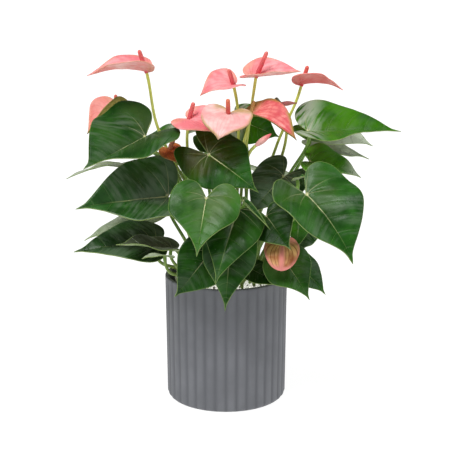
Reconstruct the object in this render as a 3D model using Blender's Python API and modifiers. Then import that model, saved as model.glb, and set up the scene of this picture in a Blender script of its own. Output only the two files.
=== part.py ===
"""Potted anthurium: a fluted cover pot, a grower's pot of potting mix, and the plant that stands in it.

Metres, +Z up. The origin is the centre of the pot's base, +X is the plant's right and -Y its front.
"""
import math
from collections import namedtuple

import bmesh
import bpy
from mathutils import Matrix, Vector
from mathutils.geometry import interpolate_bezier

# Clearances
GAP = 0.0003            # between solids that touch on the real thing

# Cover pot
POT_HEIGHT = 0.1395
POT_RADIUS_TOP = 0.0675
POT_RADIUS_BASE = 0.0662
POT_WALL = 0.0040
POT_FLOOR = 0.0050
POT_FOOT_ROUND = 0.0058
POT_LIP = 0.0030        # plain rounded lip above the flutes
FLUTES = 36
FLUTE_DEPTH = 0.0012
STEPS_PER_FLUTE = 2

# Grower's pot, which stands inside the cover pot and off its centre
GROWER_SHIFT = (0.0022, -0.0010)
GROWER_RADIUS_TOP = 0.0590
GROWER_RADIUS_BASE = 0.0480
GROWER_HEIGHT = 0.1305
GROWER_WALL = 0.0012
GROWER_RIM_WIDTH = 0.0016
GROWER_RIM_HEIGHT = 0.0060
DRAIN_HOLES = 6
DRAIN_RADIUS = 0.0040
DRAIN_RING = 0.0330

# Potting mix
MIX_TOP = 0.1342        # height of its edge
MIX_MOUND = 0.0035      # how much higher its middle is
HOLE_DEPTH = 0.0140
HOLE_RADIUS = 0.0029
STEM_DEPTH = HOLE_DEPTH - GAP
STEM_SIDES = 6

# Leaves, blooms and stems
BLADE_THICK = 0.0008
SPATHE_THICK = 0.0009
PETIOLE_RADII = (0.0021, 0.0016)
STALK_RADII = (0.0019, 0.0015)
SPADIX_RADIUS = 0.0027
SPADIX_STUB = 0.0025    # the spadix's foot, which reaches through the spathe to meet the stalk
STEM_STEPS = 5
STEM_STRAIGHT = 0.0030  # straight last bit of a stem
WAVE_TURNS = 9.0        # radians of margin wave over one blade length
LEAF_CURL = 0.45        # how fast a blade's halves curve down towards their margins
SPATHE_CURL = 0.15

# Half outlines from the notch to the tip, across and along, where the midrib is 1 long
LEAF_OUTLINE = ((0.03, -0.10), (0.13, -0.28), (0.32, -0.27), (0.46, -0.08), (0.49, 0.20),
                (0.40, 0.48), (0.23, 0.74), (0.065, 0.90), (0.0, 1.0))
SPATHE_OUTLINE = ((0.06, -0.10), (0.18, -0.22), (0.40, -0.16), (0.50, 0.10), (0.46, 0.42),
                  (0.30, 0.72), (0.10, 0.92), (0.0, 1.0))
OUTLINE_HALF_WIDTH = 0.49

# A leaf: where its petiole meets the blade, the blade's tip, the way its upper side faces, its width,
# its hole in the mix as a radius and a compass angle from +X, how steeply its halves fold up, how high
# its midrib arches, how far its lobes reach back, the rings of its mesh, and a place that the petiole
# passes on its way.
Leaf = namedtuple("Leaf", "name junction tip face width root fold arch lobe rings via",
                  defaults=(0.20, 0.05, 1.0, 2, None))
LEAVES = (
    # Left
    Leaf("leaf_01", (-0.086, -0.015, 0.294), (-0.148, -0.055, 0.266), (0.1, -0.3, 1.0), 0.108,
         root=(0.037, 184), fold=0.62, arch=0.0, lobe=1.1, rings=3, via=(-0.058, 0.020, 0.252)),
    Leaf("leaf_02", (-0.115, 0.020, 0.258), (-0.174, 0.000, 0.246), (-0.1, 0.1, 1.0), 0.044,
         root=(0.037, 165), via=(-0.062, 0.024, 0.215)),
    Leaf("leaf_03", (-0.062, -0.030, 0.232), (-0.159, -0.045, 0.222), (0.0, -0.8, 0.9), 0.084,
         root=(0.037, 200), fold=0.65, arch=0.02, lobe=0.5, rings=3),
    Leaf("leaf_04", (-0.086, 0.040, 0.195), (-0.160, 0.030, 0.168), (0.0, -0.1, 1.0), 0.056,
         root=(0.047, 172)),
    Leaf("leaf_05", (-0.077, -0.030, 0.179), (-0.163, -0.040, 0.173), (0.0, -0.3, 0.9), 0.080,
         root=(0.047, 196), fold=0.35, arch=0.04, lobe=0.5, via=(-0.071, -0.027, 0.159)),
    Leaf("leaf_06", (-0.057, -0.050, 0.178), (-0.113, -0.085, 0.193), (0.1, -0.1, 1.0), 0.050,
         root=(0.047, 214), fold=0.40, arch=0.03, lobe=0.7, via=(-0.053, -0.046, 0.160)),
    Leaf("leaf_07", (-0.062, -0.078, 0.180), (-0.085, -0.106, 0.184), (0.0, 0.1, 1.0), 0.024,
         root=(0.047, 230), fold=0.10, lobe=0.4, via=(-0.058, -0.073, 0.160)),
    # Front
    Leaf("leaf_08", (-0.017, -0.078, 0.183), (-0.053, -0.095, 0.140), (0.3, -0.9, 0.3), 0.056,
         root=(0.047, -118), arch=0.04, lobe=0.6),
    Leaf("leaf_09", (-0.020, -0.084, 0.242), (-0.029, -0.129, 0.192), (-0.05, -0.9, 0.5), 0.073,
         root=(0.037, -116), fold=0.35, arch=0.03, lobe=0.9, rings=3, via=(-0.032, -0.064, 0.205)),
    Leaf("leaf_10", (0.012, -0.074, 0.228), (-0.011, -0.125, 0.161), (-0.05, -0.9, 0.4), 0.062,
         root=(0.037, -92), fold=0.10, lobe=0.2),
    Leaf("leaf_11", (0.005, -0.084, 0.200), (-0.001, -0.104, 0.127), (0.0, -1.0, 0.2), 0.056,
         root=(0.047, -90), fold=0.15, arch=0.04),
    Leaf("leaf_12", (-0.018, -0.040, 0.279), (0.034, -0.074, 0.245), (0.1, -0.9, 0.45), 0.068,
         root=(0.026, -118), fold=0.15, arch=0.04, lobe=1.6, rings=3),
    Leaf("leaf_13", (0.019, 0.034, 0.303), (0.059, 0.028, 0.287), (0.05, -1.0, 0.2), 0.044,
         root=(0.014, 0), fold=0.15, lobe=1.2, via=(0.024, 0.024, 0.252)),
    # Right
    Leaf("leaf_14", (0.062, -0.014, 0.251), (0.024, -0.054, 0.216), (-0.2, -0.8, 0.5), 0.060,
         root=(0.026, -12), fold=0.25, arch=0.04, lobe=1.2),
    Leaf("leaf_15", (0.083, -0.066, 0.242), (0.129, -0.106, 0.178), (0.42, -0.9, 0.5), 0.088,
         root=(0.037, -34), fold=0.55, arch=0.10, lobe=1.0, rings=3),
    Leaf("leaf_16", (0.088, -0.005, 0.298), (0.187, -0.010, 0.299), (0.0, -0.3, 0.95), 0.090,
         root=(0.026, 14), fold=0.50, arch=0.01, lobe=0.50, rings=3, via=(0.067, 0.002, 0.246)),
    Leaf("leaf_17", (0.096, 0.042, 0.298), (0.163, 0.035, 0.276), (0.0, -0.55, 0.8), 0.052,
         root=(0.037, 30), fold=0.20),
    Leaf("leaf_18", (0.103, 0.048, 0.269), (0.162, 0.058, 0.257), (0.0, -0.2, 1.0), 0.050,
         root=(0.047, 22), fold=0.30),
    Leaf("leaf_19", (0.090, -0.008, 0.266), (0.145, -0.016, 0.250), (0.1, -0.4, 0.9), 0.058,
         root=(0.037, 0), fold=0.36, lobe=0.5, via=(0.075, 0.008, 0.236)),
    Leaf("leaf_20", (0.074, -0.037, 0.251), (0.084, -0.048, 0.257), (0.0, -0.2, 1.0), 0.012,
         root=(0.026, -34), fold=0.60, lobe=0.5, via=(0.064, -0.053, 0.222)),
    Leaf("leaf_21", (0.042, -0.060, 0.218), (0.066, -0.098, 0.191), (-0.2, -0.8, 0.5), 0.053,
         root=(0.037, -50), fold=0.25, lobe=0.6),
    Leaf("leaf_22", (0.078, -0.026, 0.211), (0.074, -0.052, 0.177), (0.1, -0.9, 0.4), 0.028,
         root=(0.037, -16), fold=0.10),
    Leaf("leaf_23", (0.082, -0.002, 0.184), (0.110, -0.006, 0.188), (0.0, -0.5, 0.9), 0.042,
         root=(0.047, 4), via=(0.070, 0.006, 0.165)),
    Leaf("leaf_24", (0.060, -0.054, 0.170), (0.088, -0.070, 0.129), (0.3, -0.8, 0.5), 0.055,
         root=(0.047, -42), lobe=0.7),
    Leaf("leaf_25", (0.074, -0.018, 0.157), (0.108, -0.030, 0.123), (0.3, -0.7, 0.6), 0.042,
         root=(0.047, -12)),
    Leaf("leaf_26", (0.026, -0.050, 0.158), (0.058, -0.066, 0.143), (0.1, -0.8, 0.6), 0.028,
         root=(0.047, -72), arch=0.04, lobe=0.4),
    # Between the others
    Leaf("leaf_27", (-0.023, -0.008, 0.291), (-0.004, -0.024, 0.272), (0.0, -0.7, 0.7), 0.028,
         root=(0.014, 200), fold=0.15, arch=0.04),
    Leaf("leaf_28", (-0.062, 0.066, 0.288), (-0.105, 0.082, 0.270), (0.0, -0.3, 1.0), 0.046,
         root=(0.026, 138), fold=0.15, arch=0.04, via=(-0.048, 0.036, 0.248)),
    Leaf("leaf_29", (0.0175, -0.077, 0.2375), (0.045, -0.096, 0.212), (0.3, -0.7, 0.7), 0.010,
         root=(0.037, -78), fold=0.90, arch=0.02, lobe=0.3, via=(0.008, -0.056, 0.222)),
    # Back
    Leaf("leaf_30", (0.052, 0.084, 0.236), (0.103, 0.136, 0.198), (0.2, 0.2, 1.0), 0.094,
         root=(0.037, 52), fold=0.25, arch=0.06),
    Leaf("leaf_31", (0.000, 0.080, 0.290), (0.010, 0.145, 0.250), (0.0, 0.3, 1.0), 0.094,
         root=(0.037, 88), fold=0.25, arch=0.06),
    Leaf("leaf_32", (-0.055, 0.075, 0.235), (-0.110, 0.122, 0.198), (-0.2, 0.3, 1.0), 0.094,
         root=(0.037, 128), fold=0.25, arch=0.06),
    Leaf("leaf_33", (-0.002, 0.070, 0.188), (0.000, 0.128, 0.140), (0.0, 0.6, 0.8), 0.074,
         root=(0.047, 80), fold=0.25, arch=0.06),
)

# A bloom: where stalk, spathe and spadix meet, the spathe's tip, the way the spathe's upper side
# faces, its width, the spadix's tip, its hole in the mix, its fold, arch and lobes as on a leaf, and
# a place that the stalk passes on its way.
Bloom = namedtuple("Bloom", "name junction tip face width spadix_tip root fold arch lobe via",
                   defaults=(0.20, 0.05, 1.0, None))
BLOOMS = (
    Bloom("bloom_01", (-0.083, 0.010, 0.360), (-0.148, 0.000, 0.357), (0.0, -0.05, 1.0), 0.050,
          spadix_tip=(-0.093, 0.008, 0.384), root=(0.014, 165), fold=0.55, arch=0.08, lobe=0.4,
          via=(-0.075, 0.018, 0.300)),
    Bloom("bloom_02", (-0.117, 0.042, 0.302), (-0.152, 0.017, 0.292), (0.0, 0.1, 1.0), 0.040,
          spadix_tip=(-0.122, 0.037, 0.333), root=(0.026, 160), fold=1.50, via=(-0.060, 0.040, 0.252)),
    Bloom("bloom_03", (-0.041, -0.020, 0.314), (-0.008, -0.045, 0.303), (0.0, -0.5, 0.9), 0.046,
          spadix_tip=(-0.034, -0.024, 0.332), root=(0.026, 204), fold=0.25, via=(-0.041, -0.010, 0.275)),
    Bloom("bloom_04", (0.003, -0.035, 0.322), (-0.008, -0.075, 0.301), (0.0, -0.6, 0.8), 0.052,
          spadix_tip=(0.002, -0.045, 0.338), root=(0.014, -120), via=(-0.003, -0.006, 0.285)),
    Bloom("bloom_05", (0.0245, -0.002, 0.3145), (0.0735, -0.048, 0.2950), (0.10, -0.42, 1.0), 0.044,
          spadix_tip=(0.030, 0.010, 0.329), root=(0.014, -50), fold=0.60, arch=0.12, lobe=0.8,
          via=(0.014, -0.008, 0.262)),
    Bloom("bloom_06", (0.010, 0.014, 0.346), (-0.028, -0.002, 0.336), (0.0, -0.4, 1.0), 0.044,
          spadix_tip=(0.003, 0.011, 0.363), root=(0.014, 90), fold=0.50, arch=0.08, lobe=0.7),
    Bloom("bloom_07", (0.030, 0.016, 0.354), (0.080, 0.006, 0.361), (0.0, -0.3, 1.0), 0.044,
          spadix_tip=(0.044, 0.012, 0.382), root=(0.014, 40), fold=0.60, arch=0.0, lobe=1.2),
    Bloom("bloom_08", (0.0615, 0.018, 0.3227), (0.0490, 0.042, 0.3207), (0.2, -0.5, 0.8), 0.038,
          spadix_tip=(0.0535, 0.014, 0.3317), root=(0.026, 36), fold=0.10),
    Bloom("bloom_09", (0.082, 0.064, 0.340), (0.130, 0.052, 0.336), (0.0, 0.20, 1.0), 0.046,
          spadix_tip=(0.091, 0.062, 0.362), root=(0.026, 60), fold=0.48, arch=0.10, lobe=0.7,
          via=(0.056, 0.058, 0.270)),
    Bloom("bloom_10", (0.0585, -0.066, 0.191), (0.057, -0.080, 0.163), (0.0, -0.9, 0.4), 0.034,
          spadix_tip=(0.055, -0.064, 0.206), root=(0.047, -54), fold=-0.30, arch=0.34,
          via=(0.046, -0.034, 0.162)),
    Bloom("bloom_11", (-0.062, -0.006, 0.280), (-0.048, -0.024, 0.266), (0.0, -0.6, 0.8), 0.024,
          spadix_tip=(-0.055, -0.012, 0.294), root=(0.026, 182), fold=0.10, via=(-0.041, 0.000, 0.250)),
)

# The closed bud on its own stalk
BUD_JUNCTION = (0.0315, -0.046, 0.290)
BUD_TIP = (0.047, -0.052, 0.303)
BUD_RADIUS = 0.0030
BUD_ROOT = (0.026, -56)
BUD_VIA = (0.021, -0.058, 0.226)

MODEL = "potted_anthurium"


def start():
    """Clears the scene and makes the two collections."""
    for obj in list(bpy.context.scene.objects):
        bpy.data.objects.remove(obj, do_unlink=True)
    model = bpy.data.collections.new(MODEL)
    cutters = bpy.data.collections.new("cutters")
    bpy.context.scene.collection.children.link(model)
    bpy.context.scene.collection.children.link(cutters)
    return model, cutters


def material(name, colour, roughness, metallic=0.0):
    """A Principled material."""
    made = bpy.data.materials.new(name)
    made.use_nodes = True
    shader = made.node_tree.nodes["Principled BSDF"]
    shader.inputs["Base Color"].default_value = (*colour, 1.0)
    shader.inputs["Roughness"].default_value = roughness
    shader.inputs["Metallic"].default_value = metallic
    made.diffuse_color = (*colour, 1.0)
    return made


def add_object(name, mesh, collection, *materials):
    """Links a mesh as an object in a collection."""
    obj = bpy.data.objects.new(name, mesh)
    collection.objects.link(obj)
    for finish in materials:
        mesh.materials.append(finish)
    return obj


def evaluated_mesh(obj):
    """The object's mesh with its modifiers applied."""
    depsgraph = bpy.context.evaluated_depsgraph_get()
    return bpy.data.meshes.new_from_object(obj.evaluated_get(depsgraph), depsgraph=depsgraph)


def apply_modifiers(obj):
    """Puts the evaluated mesh in place of the object's modifiers."""
    mesh = evaluated_mesh(obj)
    obj.modifiers.clear()
    obj.data = mesh


def boolean(obj, other, operation):
    """Joins another object to this one, or cuts it away."""
    joint = obj.modifiers.new(operation.lower(), "BOOLEAN")
    joint.operation = operation
    joint.object = other
    joint.material_mode = "TRANSFER"


def as_cutter(obj):
    """Marks an object as a cutter."""
    obj.hide_render = True
    obj.display_type = "WIRE"


def turned(name, profile, steps, collection, *materials):
    """A profile of radii and heights, top to bottom on the outside, turned about the Z axis."""
    mesh = bpy.data.meshes.new(name)
    points = [(radius, 0.0, height) for radius, height in profile]
    mesh.from_pydata(points, [(i, i + 1) for i in range(len(points) - 1)], [])
    obj = add_object(name, mesh, collection, *materials)
    screw = obj.modifiers.new("turn", "SCREW")
    screw.steps = steps
    screw.render_steps = steps
    screw.use_merge_vertices = True
    screw.merge_threshold = 0.00001
    screw.use_smooth_shade = True
    apply_modifiers(obj)
    return obj


def round_corner(centre, radius, start, stop, count):
    """Points of an arc in the profile plane, with its angles in degrees."""
    angles = [math.radians(start + (stop - start) * k / count) for k in range(count + 1)]
    return [(centre[0] + radius * math.cos(a), centre[1] + radius * math.sin(a)) for a in angles]


def flute_depth(angle):
    """How deep the outer wall lies under the flutes' crests at a compass angle."""
    phase = (angle / math.tau * FLUTES) % 1.0
    return FLUTE_DEPTH * (1.0 - math.sin(math.pi * phase))


def cover_pot(collection, cutters, finish):
    """A straight cup with a plain lip, its outer wall in narrow vertical flutes."""
    lip = POT_LIP / 2
    foot = POT_FOOT_ROUND
    top_radius = POT_RADIUS_TOP
    base_radius = POT_RADIUS_BASE
    profile = [(0.0, POT_HEIGHT)]
    profile += round_corner((top_radius - lip, POT_HEIGHT - lip), lip, 90, 0, 2)
    profile += [(top_radius, POT_HEIGHT - POT_LIP)]
    profile += round_corner((base_radius - foot, foot), foot, 0, -90, 2)
    profile += [(0.0, 0.0)]
    pot = turned("cover_pot", profile, FLUTES * STEPS_PER_FLUTE, collection, finish)
    fluted_top = POT_HEIGHT - POT_LIP + GAP
    for vertex in pot.data.vertices:
        radius = math.hypot(vertex.co.x, vertex.co.y)
        if radius > base_radius - foot / 2 and vertex.co.z < fluted_top:
            scale = 1.0 - flute_depth(math.atan2(vertex.co.y, vertex.co.x)) / radius
            vertex.co.x *= scale
            vertex.co.y *= scale
    inner = top_radius - POT_WALL
    taper = top_radius - base_radius
    hollow_profile = [(0.0, POT_HEIGHT + lip), (inner + lip, POT_HEIGHT + lip), (inner, POT_HEIGHT - lip),
                      (inner - taper, POT_FLOOR + foot), (inner - taper - foot / 2, POT_FLOOR), (0.0, POT_FLOOR)]
    hollow = turned("pot_hollow", hollow_profile, FLUTES, cutters)
    as_cutter(hollow)
    boolean(pot, hollow, "DIFFERENCE")
    return pot


def grower_pot(collection, cutters, finish):
    """A thin tapered pot with a thicker rim band and a ring of drain holes."""
    base = POT_FLOOR + GAP
    top = base + GROWER_HEIGHT
    outer_top = GROWER_RADIUS_TOP
    wall = GROWER_WALL
    rim = GROWER_RIM_WIDTH
    profile = [(outer_top - rim - wall, top), (outer_top, top), (outer_top, top - GROWER_RIM_HEIGHT),
               (outer_top - rim, top - GROWER_RIM_HEIGHT), (GROWER_RADIUS_BASE, base), (0.0, base)]
    inside = [(0.0, base + wall), (GROWER_RADIUS_BASE - wall, base + wall), profile[0]]
    pot = turned("grower_pot", profile + inside, 24, collection, finish)
    pot.location = (*GROWER_SHIFT, 0.0)
    drains = bmesh.new()
    for k in range(DRAIN_HOLES):
        turn = math.tau * k / DRAIN_HOLES
        place = Matrix.Translation((DRAIN_RING * math.cos(turn), DRAIN_RING * math.sin(turn), base))
        bmesh.ops.create_cone(drains, cap_ends=True, segments=8, radius1=DRAIN_RADIUS, radius2=DRAIN_RADIUS,
                              depth=6 * wall, matrix=place)
    mesh = bpy.data.meshes.new("drain_holes")
    drains.to_mesh(mesh)
    drains.free()
    cutter = add_object("drain_holes", mesh, cutters)
    cutter.location = pot.location
    as_cutter(cutter)
    boolean(pot, cutter, "DIFFERENCE")
    return pot


def mix_height(x, y):
    """Height of the mix's mounded top at a place."""
    radius = math.hypot(x - GROWER_SHIFT[0], y - GROWER_SHIFT[1])
    return MIX_TOP + MIX_MOUND * max(0.0, 1.0 - (radius / GROWER_RADIUS_TOP) ** 2)


def hole_place(root):
    """World place of a hole from its radius and compass angle, at the top of the mix."""
    radius, degrees = root
    x = GROWER_SHIFT[0] + radius * math.cos(math.radians(degrees))
    y = GROWER_SHIFT[1] + radius * math.sin(math.radians(degrees))
    return Vector((x, y, mix_height(x, y)))


def potting_mix(collection, cutters, finish):
    """The mix fills the grower's pot, with a plain hole for each stem."""
    base = POT_FLOOR + GAP + GROWER_WALL + GAP
    inner_top = GROWER_RADIUS_TOP - GROWER_RIM_WIDTH - GROWER_WALL
    inner_base = GROWER_RADIUS_BASE - GROWER_WALL
    slope = (inner_top - inner_base) / (GROWER_HEIGHT - GROWER_WALL)
    edge = inner_base + slope * (MIX_TOP - base) - 2 * GAP
    profile = [(0.0, MIX_TOP + MIX_MOUND), (edge * 0.6, MIX_TOP + MIX_MOUND * 0.6), (edge, MIX_TOP),
               (inner_base - 2 * GAP, base), (0.0, base)]
    mix = turned("potting_mix", profile, 24, collection, finish)
    mix.location = (*GROWER_SHIFT, 0.0)
    holes = bmesh.new()
    for root in [leaf.root for leaf in LEAVES] + [bloom.root for bloom in BLOOMS] + [BUD_ROOT]:
        top = hole_place(root)
        place = Matrix.Translation((top.x, top.y, top.z))
        bmesh.ops.create_cone(holes, cap_ends=True, segments=STEM_SIDES, radius1=HOLE_RADIUS,
                              radius2=HOLE_RADIUS, depth=2 * HOLE_DEPTH, matrix=place)
    mesh = bpy.data.meshes.new("stem_holes")
    holes.to_mesh(mesh)
    holes.free()
    cutter = add_object("stem_holes", mesh, cutters)
    as_cutter(cutter)
    boolean(mix, cutter, "DIFFERENCE")
    return mix


def blade_axes(junction, tip, face):
    """Axes of a blade: across it, along its midrib and out of its upper side."""
    along = (tip - junction).normalized()
    up = (face - along * face.dot(along)).normalized()
    return along.cross(up), along, up


def blade_lift(across, along, side, fold, arch, curl, wave):
    """Height of a blade above its chord, all in midrib lengths."""
    if along > 0.0:
        midrib = 4 * arch * along * (1.0 - along)
    else:
        midrib = 4 * arch * along / (1.0 - 6.0 * along)
    halves = fold * across - curl * across * across
    ripple = wave * across * math.sin(WAVE_TURNS * along + side)
    return midrib + halves + ripple


def blade(name, spec, outline, rings, thickness, curl, wave, collection, *materials):
    """A heart-shaped blade: a grid wrapped round the junction as a fan, bent and given thickness."""
    junction = Vector(spec.junction)
    tip = Vector(spec.tip)
    length = (tip - junction).length
    across, along, up = blade_axes(junction, tip, Vector(spec.face))
    widen = spec.width / (2 * OUTLINE_HALF_WIDTH * length)
    edge = [(-x, y) for x, y in outline] + [(x, y) for x, y in reversed(outline[:-1])]
    ring_places = (0.0, 0.62, 1.0) if rings == 2 else (0.0, 0.45, 0.8, 1.0)
    sheet = bmesh.new()
    bmesh.ops.create_grid(sheet, x_segments=len(edge) - 1, y_segments=rings, size=0.5)
    sheet.verts.ensure_lookup_table()
    for vertex in sheet.verts:
        column = round((vertex.co.x + 0.5) * (len(edge) - 1))
        ring = ring_places[round((vertex.co.y + 0.5) * rings)]
        x = edge[column][0] * widen * ring
        y = edge[column][1] * ring
        if y < 0.0:
            y *= spec.lobe
        side = 0.7 if x < 0 else 2.6
        z = blade_lift(abs(x), y, side, spec.fold, spec.arch, curl, wave)
        vertex.co = junction + length * (x * across + y * along + z * up)
    bmesh.ops.remove_doubles(sheet, verts=sheet.verts, dist=0.00001)
    bmesh.ops.triangulate(sheet, faces=sheet.faces, quad_method="SHORT_EDGE")
    bmesh.ops.recalc_face_normals(sheet, faces=sheet.faces)
    mesh = bpy.data.meshes.new(name)
    sheet.to_mesh(mesh)
    sheet.free()
    obj = add_object(name, mesh, collection, *materials)
    solid = obj.modifiers.new("thickness", "SOLIDIFY")
    solid.thickness = thickness
    solid.offset = 0.0
    apply_modifiers(obj)
    return obj


def tube(name, points, radii, collection, *materials):
    """A round rod along points, with a radius at each, as a closed mesh."""
    curve = bpy.data.curves.new(name, "CURVE")
    curve.dimensions = "3D"
    curve.bevel_depth = radii[0]
    curve.bevel_resolution = 1
    curve.use_fill_caps = True
    spline = curve.splines.new("POLY")
    spline.points.add(len(points) - 1)
    for point, place, radius in zip(spline.points, points, radii):
        point.co = (*place, 1.0)
        point.radius = radius / radii[0]
    rod = bpy.data.objects.new(name, curve)
    collection.objects.link(rod)
    mesh = evaluated_mesh(rod)
    bpy.data.objects.remove(rod)
    welded = bmesh.new()
    welded.from_mesh(mesh)
    bmesh.ops.remove_doubles(welded, verts=welded.verts, dist=0.000001)
    welded.to_mesh(mesh)
    welded.free()
    return add_object(name, mesh, collection, *materials)


def stem_points(root, end, lean, via=None):
    """A stem's way: straight up out of its hole, past its via place, and straight along lean at its end."""
    last = end
    end = last - STEM_STRAIGHT * lean
    hole = hole_place(root)
    foot = hole - Vector((0.0, 0.0, STEM_DEPTH))
    collar = hole + Vector((0.0, 0.0, 0.002))
    up = Vector((0.0, 0.0, 1.0))
    if via is None:
        reach = (end - collar).length
        way = interpolate_bezier(collar, collar + 0.40 * reach * up, end - 0.30 * reach * lean, end,
                                 STEM_STEPS)
    else:
        via = Vector(via)
        low = (via - collar).length
        high = (end - via).length
        heading = (end - collar).normalized()
        way = interpolate_bezier(collar, collar + 0.40 * low * up, via - 0.33 * low * heading, via, 4)
        way += interpolate_bezier(via, via + 0.33 * high * heading, end - 0.33 * high * lean, end, 3)[1:]
    return [foot] + way + [last]


def leaf_stem(spec):
    """A petiole's way up to its blade."""
    junction = Vector(spec.junction)
    across, along, up = blade_axes(junction, Vector(spec.tip), Vector(spec.face))
    lean = (up + Vector((0.0, 0.0, 1.0))).normalized()
    return stem_points(spec.root, junction + 0.0021 * along + 0.0011 * up, lean, spec.via)


def tapered(radii, count):
    """Radii that run evenly from the first to the second."""
    return [radii[0] + (radii[1] - radii[0]) * k / (count - 1) for k in range(count)]


def merge(obj, other):
    """Unites another object with this one and removes it."""
    boolean(obj, other, "UNION")
    apply_modifiers(obj)
    bpy.data.objects.remove(other)


def leaf(spec, number, collection, finish):
    """A leaf: its blade and its petiole in one piece."""
    wave = 0.10 * math.sin(2.4 * number)
    obj = blade(spec.name, spec, LEAF_OUTLINE, spec.rings, BLADE_THICK, LEAF_CURL, wave, collection, finish)
    points = leaf_stem(spec)
    petiole = tube("petiole", points, tapered(PETIOLE_RADII, len(points)), collection, finish)
    merge(obj, petiole)
    return obj


def bloom(spec, collection, spathe_finish, spadix_finish, stalk_finish):
    """A bloom: its head, which is a spathe and spadix in one piece, and its stalk."""
    head = blade(spec.name + "_head", spec, SPATHE_OUTLINE, 2, SPATHE_THICK, SPATHE_CURL, 0.04,
                 collection, spathe_finish)
    junction = Vector(spec.junction)
    spadix_tip = Vector(spec.spadix_tip)
    axis = (spadix_tip - junction).normalized()
    across, along, up = blade_axes(junction, Vector(spec.tip), Vector(spec.face))
    lean = (axis + up).normalized()
    base = junction + 0.0023 * along
    foot = base - SPADIX_STUB * lean
    shares = (0.0, 0.15, 0.5, 0.85, 1.0)
    widths = (0.72, 1.0, 0.95, 0.75, 0.35)
    points = [foot] + [base.lerp(spadix_tip, share) for share in shares]
    radii = [STALK_RADII[1]] + [SPADIX_RADIUS * width for width in widths]
    spadix = tube("spadix", points, radii, collection, spadix_finish)
    merge(head, spadix)
    end = foot - GAP * lean
    stem = stem_points(spec.root, end, lean, spec.via)
    tube(spec.name + "_stalk", stem, tapered(STALK_RADII, len(stem)), collection, stalk_finish)


def bud(collection, spathe_finish, stalk_finish):
    """A furled spathe on its stalk."""
    junction = Vector(BUD_JUNCTION)
    tip = Vector(BUD_TIP)
    lean = (tip - junction).normalized()
    shares = (0.0, 0.25, 0.55, 0.85, 1.0)
    widths = (0.5, 1.0, 0.95, 0.45, 0.12)
    points = [junction.lerp(tip, share) for share in shares]
    tube("bud_head", points, [BUD_RADIUS * width for width in widths], collection, spathe_finish)
    stem = stem_points(BUD_ROOT, junction - GAP * lean, lean, BUD_VIA)
    tube("bud_stalk", stem, tapered(STALK_RADII, len(stem)), collection, stalk_finish)


def main():
    model, cutters = start()
    cover_pot(model, cutters, material("matt_grey_glaze", (0.17, 0.18, 0.20), 0.62))
    grower_pot(model, cutters, material("pale_thin_plastic", (0.75, 0.75, 0.72), 0.45))
    potting_mix(model, cutters, material("potting_mix", (0.62, 0.60, 0.55), 0.95))
    leaf_green = material("leaf_green", (0.020, 0.085, 0.018), 0.30)
    for number, spec in enumerate(LEAVES, 1):
        leaf(spec, number, model, leaf_green)
    spathe_pink = material("spathe_pink", (0.90, 0.36, 0.37), 0.30)
    spadix_coral = material("spadix_coral", (0.75, 0.10, 0.07), 0.55)
    stalk_green = material("stalk_green", (0.10, 0.22, 0.04), 0.40)
    for spec in BLOOMS:
        bloom(spec, model, spathe_pink, spadix_coral, stalk_green)
    bud(model, spathe_pink, stalk_green)


main()
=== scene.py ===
# %% [markdown]
# # A potted anthurium
#
# This lesson dresses a small flamingo flower in a fluted cover pot. A plain faceted model of it already
# exists: 60 solids that share one origin, the centre of the pot's base, with +Z up and the plant's front
# towards -Y. Each step below makes the fine surface that stands for one of those solids, in the same
# place. All lengths are in metres.

# %% Load the plain model
import math
import random
from collections import namedtuple

import bmesh
import bpy
from mathutils import Color, Matrix, Vector, noise
from mathutils.geometry import interpolate_bezier


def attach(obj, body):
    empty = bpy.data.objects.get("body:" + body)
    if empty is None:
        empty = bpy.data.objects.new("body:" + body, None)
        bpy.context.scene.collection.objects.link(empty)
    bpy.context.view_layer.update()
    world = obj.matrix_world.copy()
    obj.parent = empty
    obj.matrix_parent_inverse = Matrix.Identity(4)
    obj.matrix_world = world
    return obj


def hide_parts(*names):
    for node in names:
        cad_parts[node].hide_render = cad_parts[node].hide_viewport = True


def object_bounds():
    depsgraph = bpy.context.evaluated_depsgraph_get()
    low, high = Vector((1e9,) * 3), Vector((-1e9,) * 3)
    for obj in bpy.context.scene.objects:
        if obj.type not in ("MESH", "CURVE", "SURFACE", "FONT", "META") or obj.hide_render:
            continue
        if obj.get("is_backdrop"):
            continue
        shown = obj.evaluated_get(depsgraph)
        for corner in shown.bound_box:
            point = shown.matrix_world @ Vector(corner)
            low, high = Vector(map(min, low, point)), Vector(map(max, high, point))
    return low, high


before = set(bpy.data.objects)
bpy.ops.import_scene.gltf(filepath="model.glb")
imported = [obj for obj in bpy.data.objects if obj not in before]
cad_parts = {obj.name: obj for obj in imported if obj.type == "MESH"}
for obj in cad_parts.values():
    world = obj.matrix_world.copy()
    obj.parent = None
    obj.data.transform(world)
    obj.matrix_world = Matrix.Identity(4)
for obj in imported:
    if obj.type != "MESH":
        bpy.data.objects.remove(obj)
plain_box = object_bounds()
scene = bpy.context.scene
print("solids in the plain model:", len(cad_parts))

# %% [markdown]
# ## Camera
#
# The plant was photographed from a little above, with a long lens, so that the pot's sides stay nearly
# parallel. The camera stands 1.24 m in front and looks down by 13.5 degrees. It could also be aimed
# with a Track To constraint, but plain numbers are easier to read and to repeat.

# %% Camera
CAMERA_PLACE = (0.0042, -1.240, 0.486)
CAMERA_PITCH = math.radians(13.5)
LENS = 90.8             # millimetres, on a film 36 mm wide
FILM = 36.0

lens = bpy.data.cameras.new("camera")
lens.lens = LENS
lens.sensor_width = FILM
camera = bpy.data.objects.new("camera", lens)
camera.location = CAMERA_PLACE
camera.rotation_euler = (math.pi / 2 - CAMERA_PITCH, 0.0, 0.0)
scene.collection.objects.link(camera)
scene.camera = camera
print("camera height:", CAMERA_PLACE[2], "m")

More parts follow.
